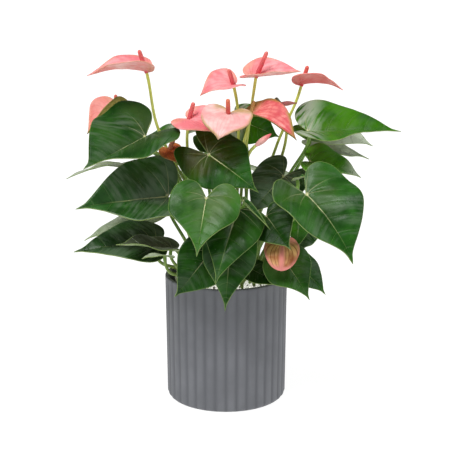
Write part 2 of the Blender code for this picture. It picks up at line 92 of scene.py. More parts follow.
# %% [markdown]
# ## Floor and light
#
# The plant stands on plain white in a studio. What makes its leaves look glossy isn't how bright the room
# is but how uneven: a few wide lights in a dim room leave grey patches of sheen on them and let the rest
# stay deep green, while an evenly bright room would lay a milky veil over every leaf. So the room gives
# a little light from all sides, and two wide suns stand for the two soft boxes. A sun is a lamp that is
# far away, so it lights the near and the far floor alike. The floor gets its finish at the very end:
# it glows nearly up to white by itself, which keeps the shadows on it pale.

# %% Floor and light
WHITE = (1.0, 1.0, 1.0, 1.0)
FLOOR_SIZE = 40.0
ROOM_LIGHT = 0.24
# Name, where it stands, strength, and how many degrees of the sky it fills
SUNS = (("left_sun", Vector((-0.42, -0.40, 1.0)), 2.5, 30.0),
        ("right_sun", Vector((0.75, -0.30, 0.9)), 0.8, 40.0))

floor_mesh = bpy.data.meshes.new("floor")
floor_shape = bmesh.new()
bmesh.ops.create_grid(floor_shape, x_segments=1, y_segments=1, size=FLOOR_SIZE / 2)
floor_shape.to_mesh(floor_mesh)
floor_shape.free()
floor = bpy.data.objects.new("floor", floor_mesh)
scene.collection.objects.link(floor)
floor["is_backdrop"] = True

room = bpy.data.worlds.new("white_room")
room.use_nodes = True
background = room.node_tree.nodes["Background"]
background.inputs["Color"].default_value = WHITE
background.inputs["Strength"].default_value = ROOM_LIGHT
scene.world = room
scene.view_settings.view_transform = "Standard"

for name, place, strength, width in SUNS:
    sun_light = bpy.data.lights.new(name, "SUN")
    sun_light.energy = strength
    sun_light.angle = math.radians(width)
    sun = bpy.data.objects.new(name, sun_light)
    sun.rotation_euler = place.to_track_quat("Z", "Y").to_euler()
    scene.collection.objects.link(sun)
print("suns:", ", ".join(light[0] for light in SUNS))

# %% [markdown]
# ## A way to write finishes
#
# Every finish here is made from nodes. They could be joined by hand in the shader editor, but that
# can't be repeated from a text, and in a script it takes many lines. So a small class keeps the shader
# and offers short ways to do sums with nodes. A value that is the same all over a surface is set
# straight on the shader.

# %% Colours
def tint(red, green, blue):
    """A colour from its usual values of 0 to 255, as the linear numbers that a shader takes."""
    linear = Color((red / 255, green / 255, blue / 255)).from_srgb_to_scene_linear()
    return (*linear, 1.0)


print("a leaf green as a shader takes it:", [round(part, 3) for part in tint(20, 66, 10)])

# %% Bare finish
class BareFinish:
    """A material, with short ways to set its shader and to do sums with nodes."""

    def __init__(self, name, roughness, **values):
        self.material = bpy.data.materials.new(name)
        self.material.use_nodes = True
        self.tree = self.material.node_tree
        self.shader = self.tree.nodes["Principled BSDF"]
        self.set("Roughness", roughness)
        for socket, value in values.items():
            self.set(socket.replace("_", " "), value)

    def feed(self, socket, value):
        """Links a node's output to a socket, or gives the socket a plain value."""
        if isinstance(value, bpy.types.NodeSocket):
            self.tree.links.new(value, socket)
        else:
            socket.default_value = value

    def set(self, name, value):
        """Sets one of the shader's own sockets."""
        self.feed(self.shader.inputs[name], value)

    def math(self, operation, *values):
        """One step of arithmetic."""
        node = self.tree.nodes.new("ShaderNodeMath")
        node.operation = operation
        for socket, value in zip(node.inputs, values):
            self.feed(socket, value)
        return node.outputs[0]

    def times(self, first, second):
        """Two values multiplied, which also lets one value take its share of another."""
        return self.math("MULTIPLY", first, second)

    def plus(self, first, second):
        """Two values added."""
        return self.math("ADD", first, second)

    def larger(self, first, second):
        """The larger of two values at each place."""
        return self.math("MAXIMUM", first, second)

    def scaled_plus(self, value, factor, more):
        """A value times a factor, plus another value."""
        return self.math("MULTIPLY_ADD", value, factor, more)


print("a bare finish can:", ", ".join(way for way in vars(BareFinish) if not way.startswith("_")))

# %% [markdown]
# ## Patterns in a finish
#
# Nothing that grows or is fired is even. Noise gives soft random patches, numbers stored on the mesh
# say where on a leaf a place is, a band turns any number into a soft change from 0 to 1, and a mix
# lays one colour over another by such a share. Almost every look below is made of these four.

# %% Finish with patterns
UNSTRETCHED = (1.0, 1.0, 1.0)
STREAK_SHIFT = (14.0, 14.0, 14.0)   # how fast streaks change from one leaf to the next
MIX_COLOURS = (6, 7)                # a Mix node's sockets for colours, among those of other kinds
MIX_RESULT = 2


class Finish(BareFinish):
    """A finish that can also be uneven, streaked, veined or grainy."""

    def stored(self, name):
        """A number that the mesh stores at each of its points."""
        node = self.tree.nodes.new("ShaderNodeAttribute")
        node.attribute_name = name
        return node.outputs["Fac"]

    def place(self, stretch=UNSTRETCHED):
        """Where on the object a point is, stretched along each axis."""
        where = self.tree.nodes.new("ShaderNodeTexCoord").outputs["Object"]
        mapping = self.tree.nodes.new("ShaderNodeMapping")
        mapping.inputs["Scale"].default_value = stretch
        self.tree.links.new(where, mapping.inputs["Vector"])
        return mapping.outputs[0]

    def noise(self, scale, detail=3.0, stretch=UNSTRETCHED):
        """Soft random patches, as many to the metre as the scale says."""
        node = self.tree.nodes.new("ShaderNodeTexNoise")
        node.inputs["Scale"].default_value = scale
        node.inputs["Detail"].default_value = detail
        self.tree.links.new(self.place(stretch), node.inputs["Vector"])
        return node.outputs["Fac"]

    def streaks(self, first, second):
        """Random streaks in a plane of two numbers, different from leaf to leaf."""
        plane = self.tree.nodes.new("ShaderNodeCombineXYZ")
        self.feed(plane.inputs[0], first)
        self.feed(plane.inputs[1], second)
        moved = self.tree.nodes.new("ShaderNodeVectorMath")
        self.tree.links.new(plane.outputs[0], moved.inputs[0])
        self.tree.links.new(self.place(STREAK_SHIFT), moved.inputs[1])
        node = self.tree.nodes.new("ShaderNodeTexNoise")
        node.inputs["Scale"].default_value = 1.0
        node.inputs["Detail"].default_value = 4.0
        self.tree.links.new(moved.outputs[0], node.inputs["Vector"])
        return node.outputs["Fac"]

    def band(self, value, start, stop):
        """0 where the value is at start, 1 where it is at stop, with a soft change between them."""
        node = self.tree.nodes.new("ShaderNodeMapRange")
        node.interpolation_type = "SMOOTHSTEP"
        for socket, number in zip(node.inputs, (value, start, stop)):
            self.feed(socket, number)
        return node.outputs["Result"]

    def mix(self, share, first, second):
        """The first colour, with a share of the second in it."""
        node = self.tree.nodes.new("ShaderNodeMix")
        node.data_type = "RGBA"
        self.feed(node.inputs["Factor"], share)
        for socket, colour in zip(MIX_COLOURS, (first, second)):
            self.feed(node.inputs[socket], colour)
        return node.outputs[MIX_RESULT]

    def raise_by(self, height, distance):
        """Tilts the surface as if it were raised by the height times the distance."""
        node = self.tree.nodes.new("ShaderNodeBump")
        node.inputs["Distance"].default_value = distance
        self.feed(node.inputs["Height"], height)
        self.set("Normal", node.outputs[0])


print("patterns add:", ", ".join(way for way in vars(Finish) if not way.startswith("_")))

# %% [markdown]
# ## Glaze
#
# The cover pot is fired clay under a matt grey glaze: nearly one colour, with faint clouds, with painted
# shade that makes it a little darker in the grooves between the flutes, and with a very fine grain that
# keeps it from shining. A flat picture of glaze would show a seam on a round pot, so noise in three
# dimensions draws all of it.

# %% Glaze
GLAZE_GREYS = (tint(102, 104, 109), tint(115, 117, 122))
GROOVE_PAINTED_SHADE = tint(93, 95, 100)
SPECK_GREY = tint(78, 80, 85)


def glaze_finish():
    """Matt grey glaze, with painted shade in the grooves between the flutes."""
    finish = Finish("matt_grey_glaze", roughness=0.62)
    clouds = finish.band(finish.noise(26.0, 4.0), 0.30, 0.72)
    grey = finish.mix(clouds, *GLAZE_GREYS)
    streaks = finish.noise(40.0, 3.0, stretch=(1.0, 1.0, 0.1))
    # Painted shade: the glaze is drawn darker towards the grooves, where shade falls, by how near each
    # point is to a crest.
    crest = finish.band(finish.scaled_plus(streaks, 0.4, finish.stored("crest")), 0.15, 1.15)
    grey = finish.mix(crest, GROOVE_PAINTED_SHADE, grey)
    specks = finish.band(finish.noise(900.0, 2.0), 0.62, 0.75)
    finish.set("Base Color", finish.mix(finish.times(specks, 0.25), grey, SPECK_GREY))
    finish.raise_by(finish.noise(1400.0, 3.0), 0.00010)
    return finish.material


GLAZE = glaze_finish()
print("glaze:", GLAZE.name)

# %% [markdown]
# ## Thin plastic
#
# The grower's pot is thin pale plastic, rubbed and scuffed where it was packed and handled. One plain
# colour would do at this size, but a few scuffs that also dull the shine make it look used.

# %% Thin plastic
PLASTIC_PALE = tint(226, 226, 220)
PLASTIC_SCUFFED = tint(205, 205, 197)


def plastic_finish():
    """Thin pale plastic, slightly scuffed."""
    finish = Finish("pale_thin_plastic", roughness=0.42)
    scuffs = finish.noise(300.0, 5.0, stretch=(1.0, 1.0, 0.2))
    finish.set("Base Color", finish.mix(finish.band(scuffs, 0.45, 0.7), PLASTIC_PALE, PLASTIC_SCUFFED))
    finish.set("Roughness", finish.scaled_plus(scuffs, 0.3, 0.3))
    return finish.material


PLASTIC = plastic_finish()
print("plastic:", PLASTIC.name)

# %% [markdown]
# ## Potting mix
#
# The mix is bark, peat and white volcanic grains. Each grain could have a finish of its own, but one
# random number that is stored on it can pick its colour inside a single finish. The white grains are
# foamed stone that light passes through. The grains glow a little in their own colour, the brown ones
# far less because they are dark: this glow is painted light, which stands in for that light and keeps
# the white grains bright where the leaves shade them.

# %% Potting mix
PAINTED_GRAIN_GLOW = 0.42
BROWNS = (tint(46, 44, 38), tint(112, 106, 92))
WHITES = (tint(232, 231, 226), tint(254, 253, 250))
BROWN_SHARE = (0.10, 0.12)      # grains with a random number below these are brown


def mix_finish():
    """Bark, peat and white grains, which glow with painted light."""
    finish = Finish("potting_mix", roughness=0.92, Emission_Strength=PAINTED_GRAIN_GLOW)
    fine = finish.noise(1500.0, 4.0)
    is_white = finish.band(finish.stored("grain"), *BROWN_SHARE)
    colour = finish.mix(is_white, finish.mix(fine, *BROWNS), finish.mix(fine, *WHITES))
    finish.set("Base Color", colour)
    # Painted light: each grain glows in its own colour.
    finish.set("Emission Color", colour)
    finish.raise_by(fine, 0.0004)
    return finish.material


MIX = mix_finish()
print("mix:", MIX.name)

# %% [markdown]
# ## Leaf veins
#
# An anthurium leaf has a pale midrib, a fan of thinner veins from the stem's joint, and side veins that
# arch towards the tip. Painting those on a picture would need an unwrapped mesh. Instead each point of
# a blade stores how far across and along it lies, counted in midrib lengths, and how many millimetres
# it is from the margin. The nodes work out the veins from these, so they stay crisp at any size.
#
# Every vein starts on the midrib and arches outwards, so a place can be traced back to where its vein
# would start. Places with the same start are on the same vein, which draws all side veins at once.

# %% Leaf veins
VEIN_SLOPE = 0.35           # how steeply side veins leave the midrib
VEIN_BEND = 0.75            # how fast they arch towards the tip
SIDE_VEINS = 5.0            # side veins in one midrib length
FAN_ANGLES = (0, 33, 62)    # degrees from the lowest side vein down towards the lobe
MIDRIB_FOOT = 0.0095        # half the midrib's width at the joint
MIDRIB_TAPER = -0.0080      # how that changes in one midrib length
Veins = namedtuple("Veins", "midrib fan sides reach brushed")


def fan_veins(finish, start, side, reach):
    """Share of the veins that spread from the joint, which fade with the distance from it."""
    fan = 0.0
    for angle in FAN_ANGLES:
        turn = math.radians(angle)
        away = finish.plus(finish.times(start, math.cos(turn)), finish.times(side, math.sin(turn)))
        fan = finish.larger(fan, finish.band(finish.math("ABSOLUTE", away), 0.0080, 0.0010))
    return finish.times(fan, finish.band(reach, 0.55, 0.08))


def leaf_veins(finish):
    """Shares of midrib, fan and side veins at a place, its distance from the joint, and streaks."""
    along = finish.stored("along")
    side = finish.math("ABSOLUTE", finish.stored("across"))
    square = finish.times(side, side)
    bend = finish.times(square, VEIN_BEND)
    start = finish.math("SUBTRACT", along, finish.scaled_plus(side, VEIN_SLOPE, bend))
    reach = finish.math("SQRT", finish.plus(square, finish.times(along, along)))
    half_width = finish.scaled_plus(along, MIDRIB_TAPER, MIDRIB_FOOT)
    midrib = finish.band(finish.math("SUBTRACT", side, half_width), 0.005, -0.002)
    midrib = finish.times(midrib, finish.band(along, -0.02, 0.0))
    spacing = finish.math("PINGPONG", start, 0.5 / SIDE_VEINS)
    sides = finish.times(finish.band(spacing, 0.012, 0.002), finish.band(start, 0.05, 0.12))
    sides = finish.times(sides, finish.band(side, 0.42, 0.10))
    brushed = finish.streaks(finish.times(start, 15.0), finish.times(side, 3.5))
    return Veins(midrib, fan_veins(finish, start, side, reach), sides, reach, brushed)


print("fan veins on each half of a leaf:", len(FAN_ANGLES))

# %% [markdown]
# ## Upper side of a leaf
#
# The upper side is leathery and deep green. It is lighter in soft clouds and olive round the joint, and
# grey patches of painted sheen lie on it in streaks that follow the veins, broken up in places. The
# midrib is pale but worn, and it fades towards the tip. One green for all leaves would look cast in
# plastic, so a tone holds the greens and the shares of painted sheen, gloss and midrib for leaves of one
# age and place. Several small helpers each add one layer to the colour, from the flesh to the margin.

# %% Green and wax
CREAM = tint(214, 214, 166)
VEIN_GREEN = tint(112, 142, 78)
MARGIN_GREEN = tint(134, 160, 88)
RIB_GREEN = tint(150, 174, 104)
PAINTED_TIP_SHEEN = tint(196, 204, 184)
PAINTED_SHEEN_GREY = tint(104, 122, 98)
# The grey of fine dust specks, and of the painted sheen on some leaves' lobes.
DUST_AND_SHEEN_GREY = tint(170, 180, 160)


def leaf_green(finish, tone, reach):
    """Deep and bright green in soft clouds, turning olive round the joint."""
    clouds = finish.scaled_plus(finish.noise(110.0, 3.0), 0.30, finish.noise(30.0, 3.0))
    green = finish.mix(finish.band(clouds, 0.46, 0.80), tone.deep, tone.bright)
    centre = finish.times(finish.band(reach, 0.66, 0.20), finish.band(finish.noise(20.0), 0.36, 0.62))
    return finish.mix(finish.times(centre, 0.60), green, tone.olive)


def sheened_and_specked(finish, tone, green, brushed):
    """The green under streaks of painted sheen and fine dust specks, with painted sheen on the lobes or
    towards the tip in some tones.
    """
    along = finish.stored("along")
    # Painted sheen: grey streaks along the veins stand in for the lamps' grey reflections on the leaf.
    painted_sheen_place = finish.scaled_plus(finish.noise(24.0, 3.0), 0.6, finish.times(brushed, 0.6))
    green = finish.mix(finish.times(finish.band(painted_sheen_place, 0.56, 0.74), tone.wax), green, PAINTED_SHEEN_GREY)
    # Painted sheen: a grey patch on the lobes near the joint, where a reflection lies.
    if tone.lobe_wax > 0.0:
        lobe_sheen_share = finish.times(finish.band(along, 0.24, -0.04), finish.band(brushed, 0.34, 0.54))
        green = finish.mix(finish.times(lobe_sheen_share, tone.lobe_wax), green, DUST_AND_SHEEN_GREY)
    # Painted sheen: a pale grey-green towards the tip stands in for a reflection there.
    if tone.silver_from is not None:
        uneven = finish.scaled_plus(finish.noise(60.0, 4.0), 0.5, along)
        tip_sheen_share = finish.band(uneven, tone.silver_from, tone.silver_from + 0.4)
        green = finish.mix(finish.times(tip_sheen_share, 0.85), green, PAINTED_TIP_SHEEN)
    specks = finish.band(finish.noise(900.0, 1.0), 0.76, 0.80)
    return finish.mix(finish.times(specks, 0.25), green, DUST_AND_SHEEN_GREY)


print("wax grey as a shader takes it:", [round(part, 3) for part in PAINTED_SHEEN_GREY[:3]])

# %% Veins and skin
def veined(finish, tone, green, veins):
    """The green with faint side veins, the fan, a worn midrib and a cream dot at the joint."""
    vein = finish.mix(finish.band(veins.reach, 0.03, 0.40), CREAM, VEIN_GREEN)
    green = finish.mix(finish.times(veins.sides, 0.12), green, VEIN_GREEN)
    green = finish.mix(finish.times(veins.fan, 0.34), green, vein)
    rib = finish.mix(finish.band(veins.reach, 0.05, 0.80), CREAM, RIB_GREEN)
    worn = finish.times(finish.band(finish.noise(55.0, 2.0), 0.34, 0.58), tone.midrib)
    fading = finish.times(finish.band(veins.reach, 1.15, 0.15), finish.larger(worn, tone.midrib / 2))
    green = finish.mix(finish.times(veins.midrib, fading), green, rib)
    return finish.mix(finish.band(veins.reach, 0.036, 0.016), green, CREAM)


def leaf_skin(finish, veins):
    """Uneven shine, a fine grain, and veins sunk into the skin."""
    patches = finish.scaled_plus(finish.noise(75.0, 4.0), 0.5, finish.times(veins.brushed, 0.5))
    finish.set("Roughness", finish.scaled_plus(finish.band(patches, 0.38, 0.62), 0.18, 0.25))
    grain = finish.plus(finish.noise(420.0, 3.0), finish.times(finish.noise(150.0, 2.0), 2.0))
    sunk = finish.times(finish.larger(veins.fan, veins.sides), 2.6)
    finish.raise_by(finish.math("SUBTRACT", grain, sunk), 0.00013)


def leaf_upper(name, tone):
    """The glossy upper side of a leaf in one tone."""
    finish = Finish(name, roughness=0.30, Specular_IOR_Level=tone.gloss)
    veins = leaf_veins(finish)
    green = sheened_and_specked(finish, tone, leaf_green(finish, tone, veins.reach), veins.brushed)
    green = veined(finish, tone, green, veins)
    margin = finish.times(finish.band(finish.stored("margin"), 0.8, 0.2), 0.60)
    finish.set("Base Color", finish.mix(margin, green, MARGIN_GREEN))
    leaf_skin(finish, veins)
    return finish.material


print("materials before the leaves' own:", len(bpy.data.materials))

# %% [markdown]
# ## Tones of the leaves
#
# The tones hold the leaves' own greens, and light and shade painted into them. Leaves low in the plant
# are dark, some of them with tones of painted shade, and older ones are worn or brownish. Some leaves
# that the lamps leave in shadow wear lighter tones of painted light, and the grey streaks on many tones,
# and the grey on some lobes and tips, are painted sheen. Each row below is one such tone: three greens,
# then the shares of painted sheen, gloss and midrib, and for some where the painted sheen at the tip
# starts or how much painted sheen the lobes carry. Some leaves wear a pale grey-green tone on the side
# that is built as their upper one.

# %% Tones of the leaves
LeafTone = namedtuple("LeafTone", "deep bright olive wax gloss midrib silver_from lobe_wax",
                      defaults=(None, 0.0))
LEAF_TONES = {
    "shade": LeafTone(tint(10, 38, 4), tint(26, 64, 12), tint(34, 52, 14), 0.12, 0.10, 0.4),
    "deep": LeafTone(tint(14, 50, 6), tint(36, 84, 18), tint(44, 66, 20), 0.20, 0.14, 0.5),
    # Dark greens with grey streaks of painted sheen.
    "worn": LeafTone(tint(16, 48, 10), tint(38, 76, 28), tint(46, 62, 28), 0.42, 0.22, 0.45),
    # Painted light: lighter greens and much painted sheen, for leaves that the lamps leave in shadow.
    "dusty": LeafTone(tint(24, 64, 16), tint(52, 100, 40), tint(60, 80, 38), 0.66, 0.30, 1.0),
    # Painted shade: brown-grey greens for a leaf that lies in shade.
    "dusky": LeafTone(tint(44, 52, 36), tint(70, 78, 58), tint(84, 82, 62), 0.5, 0.26, 0.3),
    "mid": LeafTone(tint(20, 66, 10), tint(44, 98, 26), tint(58, 84, 32), 0.36, 0.19, 0.85),
    "calm": LeafTone(tint(22, 62, 14), tint(44, 88, 30), tint(62, 74, 42), 0.40, 0.06, 0.85),
    "aged": LeafTone(tint(16, 54, 6), tint(34, 86, 16), tint(72, 58, 22), 0.12, 0.07, 0.85),
    "bright": LeafTone(tint(28, 74, 12), tint(54, 104, 32), tint(92, 114, 60), 0.26, 0.17, 0.9),
    # Painted sheen on the lobes.
    "fresh": LeafTone(tint(32, 88, 2), tint(62, 122, 10), tint(76, 116, 22), 0.14, 0.16, 0.7,
                      lobe_wax=0.9),
    "pale": LeafTone(tint(118, 138, 100), tint(184, 194, 170), tint(146, 156, 124), 0.3, 0.3, 0.4),
    # Painted sheen over much of the blade, from near the joint towards the tip.
    "silver": LeafTone(tint(36, 92, 6), tint(66, 120, 16), tint(80, 116, 34), 0.2, 0.2, 0.6, 0.2),
    # Painted light: brighter greens for a leaf in another's shadow, with painted sheen towards its tip.
    "tipped": LeafTone(tint(52, 124, 4), tint(84, 148, 18), tint(92, 134, 30), 0.1, 0.2, 0.6, 0.75),
    "young": LeafTone(tint(16, 52, 8), tint(36, 80, 20), tint(40, 84, 24), 0.2, 0.25, 1.0),
}
LEAF_UPPER = {name: leaf_upper("leaf_" + name, tone) for name, tone in LEAF_TONES.items()}
print("tones of the leaves:", ", ".join(LEAF_UPPER))

# %% [markdown]
# ## Under side and margin of a leaf
#
# The under side has no painted sheen: it is paler, duller and greyer, and its veins stand out instead of
# lying in grooves. It could be the same finish with other numbers, but it is simpler than the upper side,
# so it gets a short one of its own. The margin is a thread of yellow-green that catches the light.

# %% Under side and margin
UNDER_GREENS = (tint(112, 138, 84), tint(172, 184, 148))
UNDER_VEIN = tint(176, 190, 140)
MARGIN_THREAD = (tint(104, 130, 66), tint(150, 168, 100))


def leaf_under(name):
    """The paler, duller under side of a leaf."""
    finish = Finish(name, roughness=0.55)
    veins = leaf_veins(finish)
    uneven = finish.scaled_plus(finish.noise(60.0, 4.0), 0.5, finish.times(veins.brushed, 0.5))
    pale = finish.mix(finish.band(uneven, 0.38, 0.62), *UNDER_GREENS)
    raised = finish.larger(veins.midrib, finish.larger(veins.fan, finish.times(veins.sides, 0.6)))
    finish.set("Base Color", finish.mix(finish.times(raised, 0.7), pale, UNDER_VEIN))
    finish.raise_by(finish.plus(raised, finish.noise(600.0, 3.0)), 0.0002)
    return finish.material


def margin_finish():
    """The thin yellow-green edge of a leaf."""
    finish = Finish("leaf_margin", roughness=0.45)
    finish.set("Base Color", finish.mix(finish.noise(120.0, 3.0), *MARGIN_THREAD))
    return finish.material


LEAF_UNDER = leaf_under("leaf_under_side")
LEAF_MARGIN = margin_finish()
print("under side and margin:", LEAF_UNDER.name, LEAF_MARGIN.name)

# %% [markdown]
# ## Stems' finish
#
# Low in the plant the stems stand in shade, and their duller, darker green there is painted shade. Higher
# up they are lighter, and the blooms' stalks turn yellow-green just under their blooms, with fine pale
# streaks along them. Two materials with a hard change would show a ring, so the height above the pot's
# base blends them.

# %% Stems' finish
def stem_finish(name, low, high, streak, painted_shade_end, painted_shade_gone):
    """A stem: darker below one height, which is painted shade, and in its own colour above another, with
    fine lengthwise streaks.
    """
    finish = Finish(name, roughness=0.40)
    height = finish.tree.nodes.new("ShaderNodeSeparateXYZ")
    finish.tree.links.new(finish.place(), height.inputs[0])
    # Painted shade: the stem is darker low in the plant, where the leaves shade it.
    up = finish.band(height.outputs["Z"], painted_shade_end, painted_shade_gone)
    streaks = finish.band(finish.noise(500.0, 3.0, stretch=(1.0, 1.0, 0.06)), 0.35, 0.70)
    share = finish.times(streaks, finish.scaled_plus(up, 0.33, 0.12))
    finish.set("Base Color", finish.mix(share, finish.mix(up, low, high), streak))
    finish.raise_by(streaks, 0.0001)
    return finish.material


PETIOLE = stem_finish("petiole_green", tint(108, 130, 50), tint(102, 148, 52), tint(166, 194, 102),
                      0.130, 0.230)
STALK = stem_finish("stalk_green", tint(92, 118, 40), tint(222, 228, 94), tint(240, 244, 156),
                    0.245, 0.315)
print("stems:", PETIOLE.name, STALK.name)

# %% [markdown]
# ## Spathe
#
# A bloom is a waxy, coloured leaf called the spathe, with a slim spike of tiny flowers, the spadix. The
# spathe's veins run from joint to tip in arcs. Every arc through those two places sees them under one
# angle, so that angle, worked out from the stored numbers, draws all the veins at once. Between the
# veins the spathe is paler, and its lobes and margin take on a blush, green on an old bloom, that is
# worn off in places. Some have a fine net of small veins as well, and one has a broad middle stripe.

# %% Spathe veins
SPATHE_ARCS = 3.0       # how closely the arched veins lie
SpatheTone = namedtuple("SpatheTone", "pale rich blush blush_share vein_share arcs stripe net",
                        defaults=(0.5, 0.35, SPATHE_ARCS, None, 0.0))


def spathe_veins(finish, along, arcs):
    """Share of the arched veins at a place."""
    across = finish.math("ABSOLUTE", finish.stored("across"))
    square = finish.plus(finish.times(across, across), finish.times(along, along))
    angle = finish.math("ARCTAN2", across, finish.math("SUBTRACT", square, along))
    wander = finish.scaled_plus(finish.noise(60.0, 2.0), 0.10, angle)
    return finish.band(finish.math("PINGPONG", wander, 0.5 / arcs), 0.07, 0.0)


print("a spathe's tone has", len(SpatheTone._fields), "values")

# %% Spathe finish
def netted(finish, tone, colour):
    """The colour with a fine net of small veins."""
    from_middle = finish.math("ABSOLUTE", finish.math("SUBTRACT", finish.noise(210.0, 2.0), 0.5))
    return finish.mix(finish.times(finish.band(from_middle, 0.05, 0.0), tone.net), colour, tone.rich)


def striped(finish, tone, colour, along):
    """The colour with a broad stripe along the middle, which also fills the tip."""
    middle = finish.band(finish.math("ABSOLUTE", finish.stored("across")), 0.14, 0.02)
    near_tip = finish.band(finish.scaled_plus(finish.noise(90.0, 2.0), 0.3, along), 0.92, 1.14)
    return finish.mix(finish.times(finish.larger(middle, near_tip), 0.85), colour, tone.stripe)


def spathe_finish(name, tone):
    """One side of a spathe: pale between rich veins, with a blush on its lobes and margin."""
    finish = Finish(name, roughness=0.36, Specular_IOR_Level=0.25)
    along = finish.stored("along")
    clouds = finish.scaled_plus(finish.noise(120.0, 3.0), 0.35, finish.noise(30.0, 3.0))
    colour = finish.mix(finish.band(clouds, 0.50, 0.86), tone.pale, tone.rich)
    veins = spathe_veins(finish, along, tone.arcs)
    colour = finish.mix(finish.times(veins, tone.vein_share), colour, tone.rich)
    if tone.net > 0.0:
        colour = netted(finish, tone, colour)
    if tone.stripe is not None:
        colour = striped(finish, tone, colour, along)
    worn = finish.band(finish.noise(38.0, 4.0), 0.30, 0.56)
    lobes = finish.times(finish.band(along, 0.16, -0.14), worn)
    edge = finish.times(finish.band(finish.stored("margin"), 4.0, 0.3), worn)
    share = finish.times(finish.larger(lobes, edge), tone.blush_share)
    finish.set("Base Color", finish.mix(share, colour, tone.blush))
    finish.set("Roughness", finish.scaled_plus(finish.noise(90.0, 4.0), 0.25, 0.26))
    finish.raise_by(finish.plus(veins, finish.noise(420.0, 3.0)), 0.00020)
    return finish.material


print("materials before the spathes' own:", len(bpy.data.materials))

# %% [markdown]
# ## Tones of the blooms
#
# Fresh blooms are pink or rose, one is nearly cream, and older ones turn coral, brown, striped or olive,
# the last on their under side. So each tone has a row for either side. One material with two colours
# could tell the sides apart by the faces' direction, but two plain ones are easier to change.

# %% Tones of the spathes
OLIVE = tint(140, 122, 56)
ROSE = tint(244, 150, 142)
UPPER_TONES = {
    "pink": SpatheTone(tint(255, 178, 180), tint(240, 128, 136), tint(228, 162, 122), net=0.12),
    "pale": SpatheTone(tint(255, 212, 206), tint(248, 172, 170), tint(180, 152, 88), 0.9, net=0.15),
    "olive": SpatheTone(tint(252, 186, 176), tint(240, 146, 138), tint(216, 166, 116)),
    "coral": SpatheTone(tint(250, 168, 156), tint(212, 80, 88), tint(160, 134, 60), 1.0, 0.6, 4.0,
                         net=0.4),
    "aging": SpatheTone(tint(244, 150, 144), tint(220, 108, 110), OLIVE, 0.4),
    "rose": SpatheTone(tint(250, 168, 164), tint(234, 110, 114), tint(228, 160, 122)),
    "striped": SpatheTone(tint(250, 198, 132), tint(164, 92, 50), ROSE, 0.9, 1.0, 2.6, stripe=ROSE),
    "brown": SpatheTone(tint(226, 118, 62), tint(156, 66, 22), OLIVE, 0.4),
}
# The pink and rose under sides are lighter partly in their own colour and partly by painted light, for
# sides that the lamps leave in shade.
UNDER_TONES = {
    "pink": SpatheTone(tint(255, 202, 194), tint(246, 146, 142), tint(222, 168, 124), 0.5, 0.6),
    "pale": SpatheTone(tint(252, 200, 186), tint(236, 160, 140), OLIVE, 0.6, 0.5),
    "olive": SpatheTone(tint(200, 180, 100), tint(154, 138, 62), tint(116, 112, 44), 0.6, 0.6),
    "coral": SpatheTone(tint(150, 124, 56), tint(104, 84, 26), tint(96, 98, 34), 0.6, 0.6),
    "aging": SpatheTone(tint(240, 164, 146), tint(214, 126, 110), OLIVE, 0.5, 0.5),
    "rose": SpatheTone(tint(255, 150, 142), tint(244, 104, 104), tint(255, 190, 178), 0.3, 0.6),
    "striped": SpatheTone(tint(150, 120, 66), tint(120, 90, 44), OLIVE, 0.5, 0.5),
    "brown": SpatheTone(tint(214, 150, 120), tint(150, 90, 50), OLIVE, 0.5, 0.5),
}
SPATHE_UPPER = {name: spathe_finish("spathe_" + name, tone)
                for name, tone in UPPER_TONES.items()}
SPATHE_UNDER = {name: spathe_finish("spathe_under_" + name, tone)
                for name, tone in UNDER_TONES.items()}
print("tones of the blooms:", ", ".join(SPATHE_UPPER))

# %% [markdown]
# ## Spadix
#
# The spike is packed with flowers hardly 1 mm wide. Their relief could be faked by the finish alone,
# but it is real geometry further down, so that it shows in the outline. The finish adds colour, one at
# the spike's foot and another at its top, with paler specks, and only the finest grain.

# %% Spadix
FLOWER_SPECK = tint(240, 170, 146)


def spadix_finish(name, foot, top):
    """The spike of tiny flowers, paler in specks, with one colour at its foot and another at its top."""
    finish = Finish(name, roughness=0.50)
    colour = finish.mix(finish.band(finish.stored("rise"), 0.35, 1.0), foot, top)
    speckle = finish.band(finish.noise(1100.0, 2.0), 0.42, 0.62)
    finish.set("Base Color", finish.mix(finish.times(speckle, 0.25), colour, FLOWER_SPECK))
    finish.raise_by(speckle, 0.0002)
    return finish.material


SPADIX_TONES = {
    "pink": (tint(230, 82, 98), tint(240, 110, 104)),
    "pale": (tint(214, 84, 76), tint(232, 122, 84)),
    "olive": (tint(226, 110, 96), tint(230, 120, 100)),
    "coral": (tint(170, 140, 64), tint(196, 160, 84)),
    "aging": (tint(92, 108, 76), tint(104, 122, 92)),
    "rose": (tint(232, 72, 80), tint(240, 98, 84)),
    "striped": (tint(132, 120, 60), tint(110, 116, 84)),
    "brown": (tint(170, 92, 50), tint(150, 96, 60)),
}
SPADIX = {name: spadix_finish("spadix_" + name, *colours) for name, colours in SPADIX_TONES.items()}
print("spadix finishes:", len(SPADIX))

# %% [markdown]
# ## Placing a piece
#
# Every piece made below goes through one helper: it links the object, gives the mesh its finishes,
# lets it ride on the model's only body, and hides the solid that it stands for. Shapes are built in a
# bmesh, a mesh that can be edited freely, and turned into a mesh at the end.

# %% Piece
pieces = []


def piece(name, mesh, stands_for, slot, *finishes):
    """Links a mesh as a piece of the plant that stands for one of the solids."""
    obj = bpy.data.objects.new(name, mesh)
    scene.collection.objects.link(obj)
    for finish in finishes:
        mesh.materials.append(finish)
    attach(obj, "root")
    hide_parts(stands_for)
    pieces.append(obj)
    return obj


def mesh_from(shape, name):
    """A smooth-shaded mesh from a bmesh, which is then freed."""
    mesh = bpy.data.meshes.new(name)
    shape.to_mesh(mesh)
    shape.free()
    mesh.shade_smooth()
    return mesh


print("pieces so far:", len(pieces))

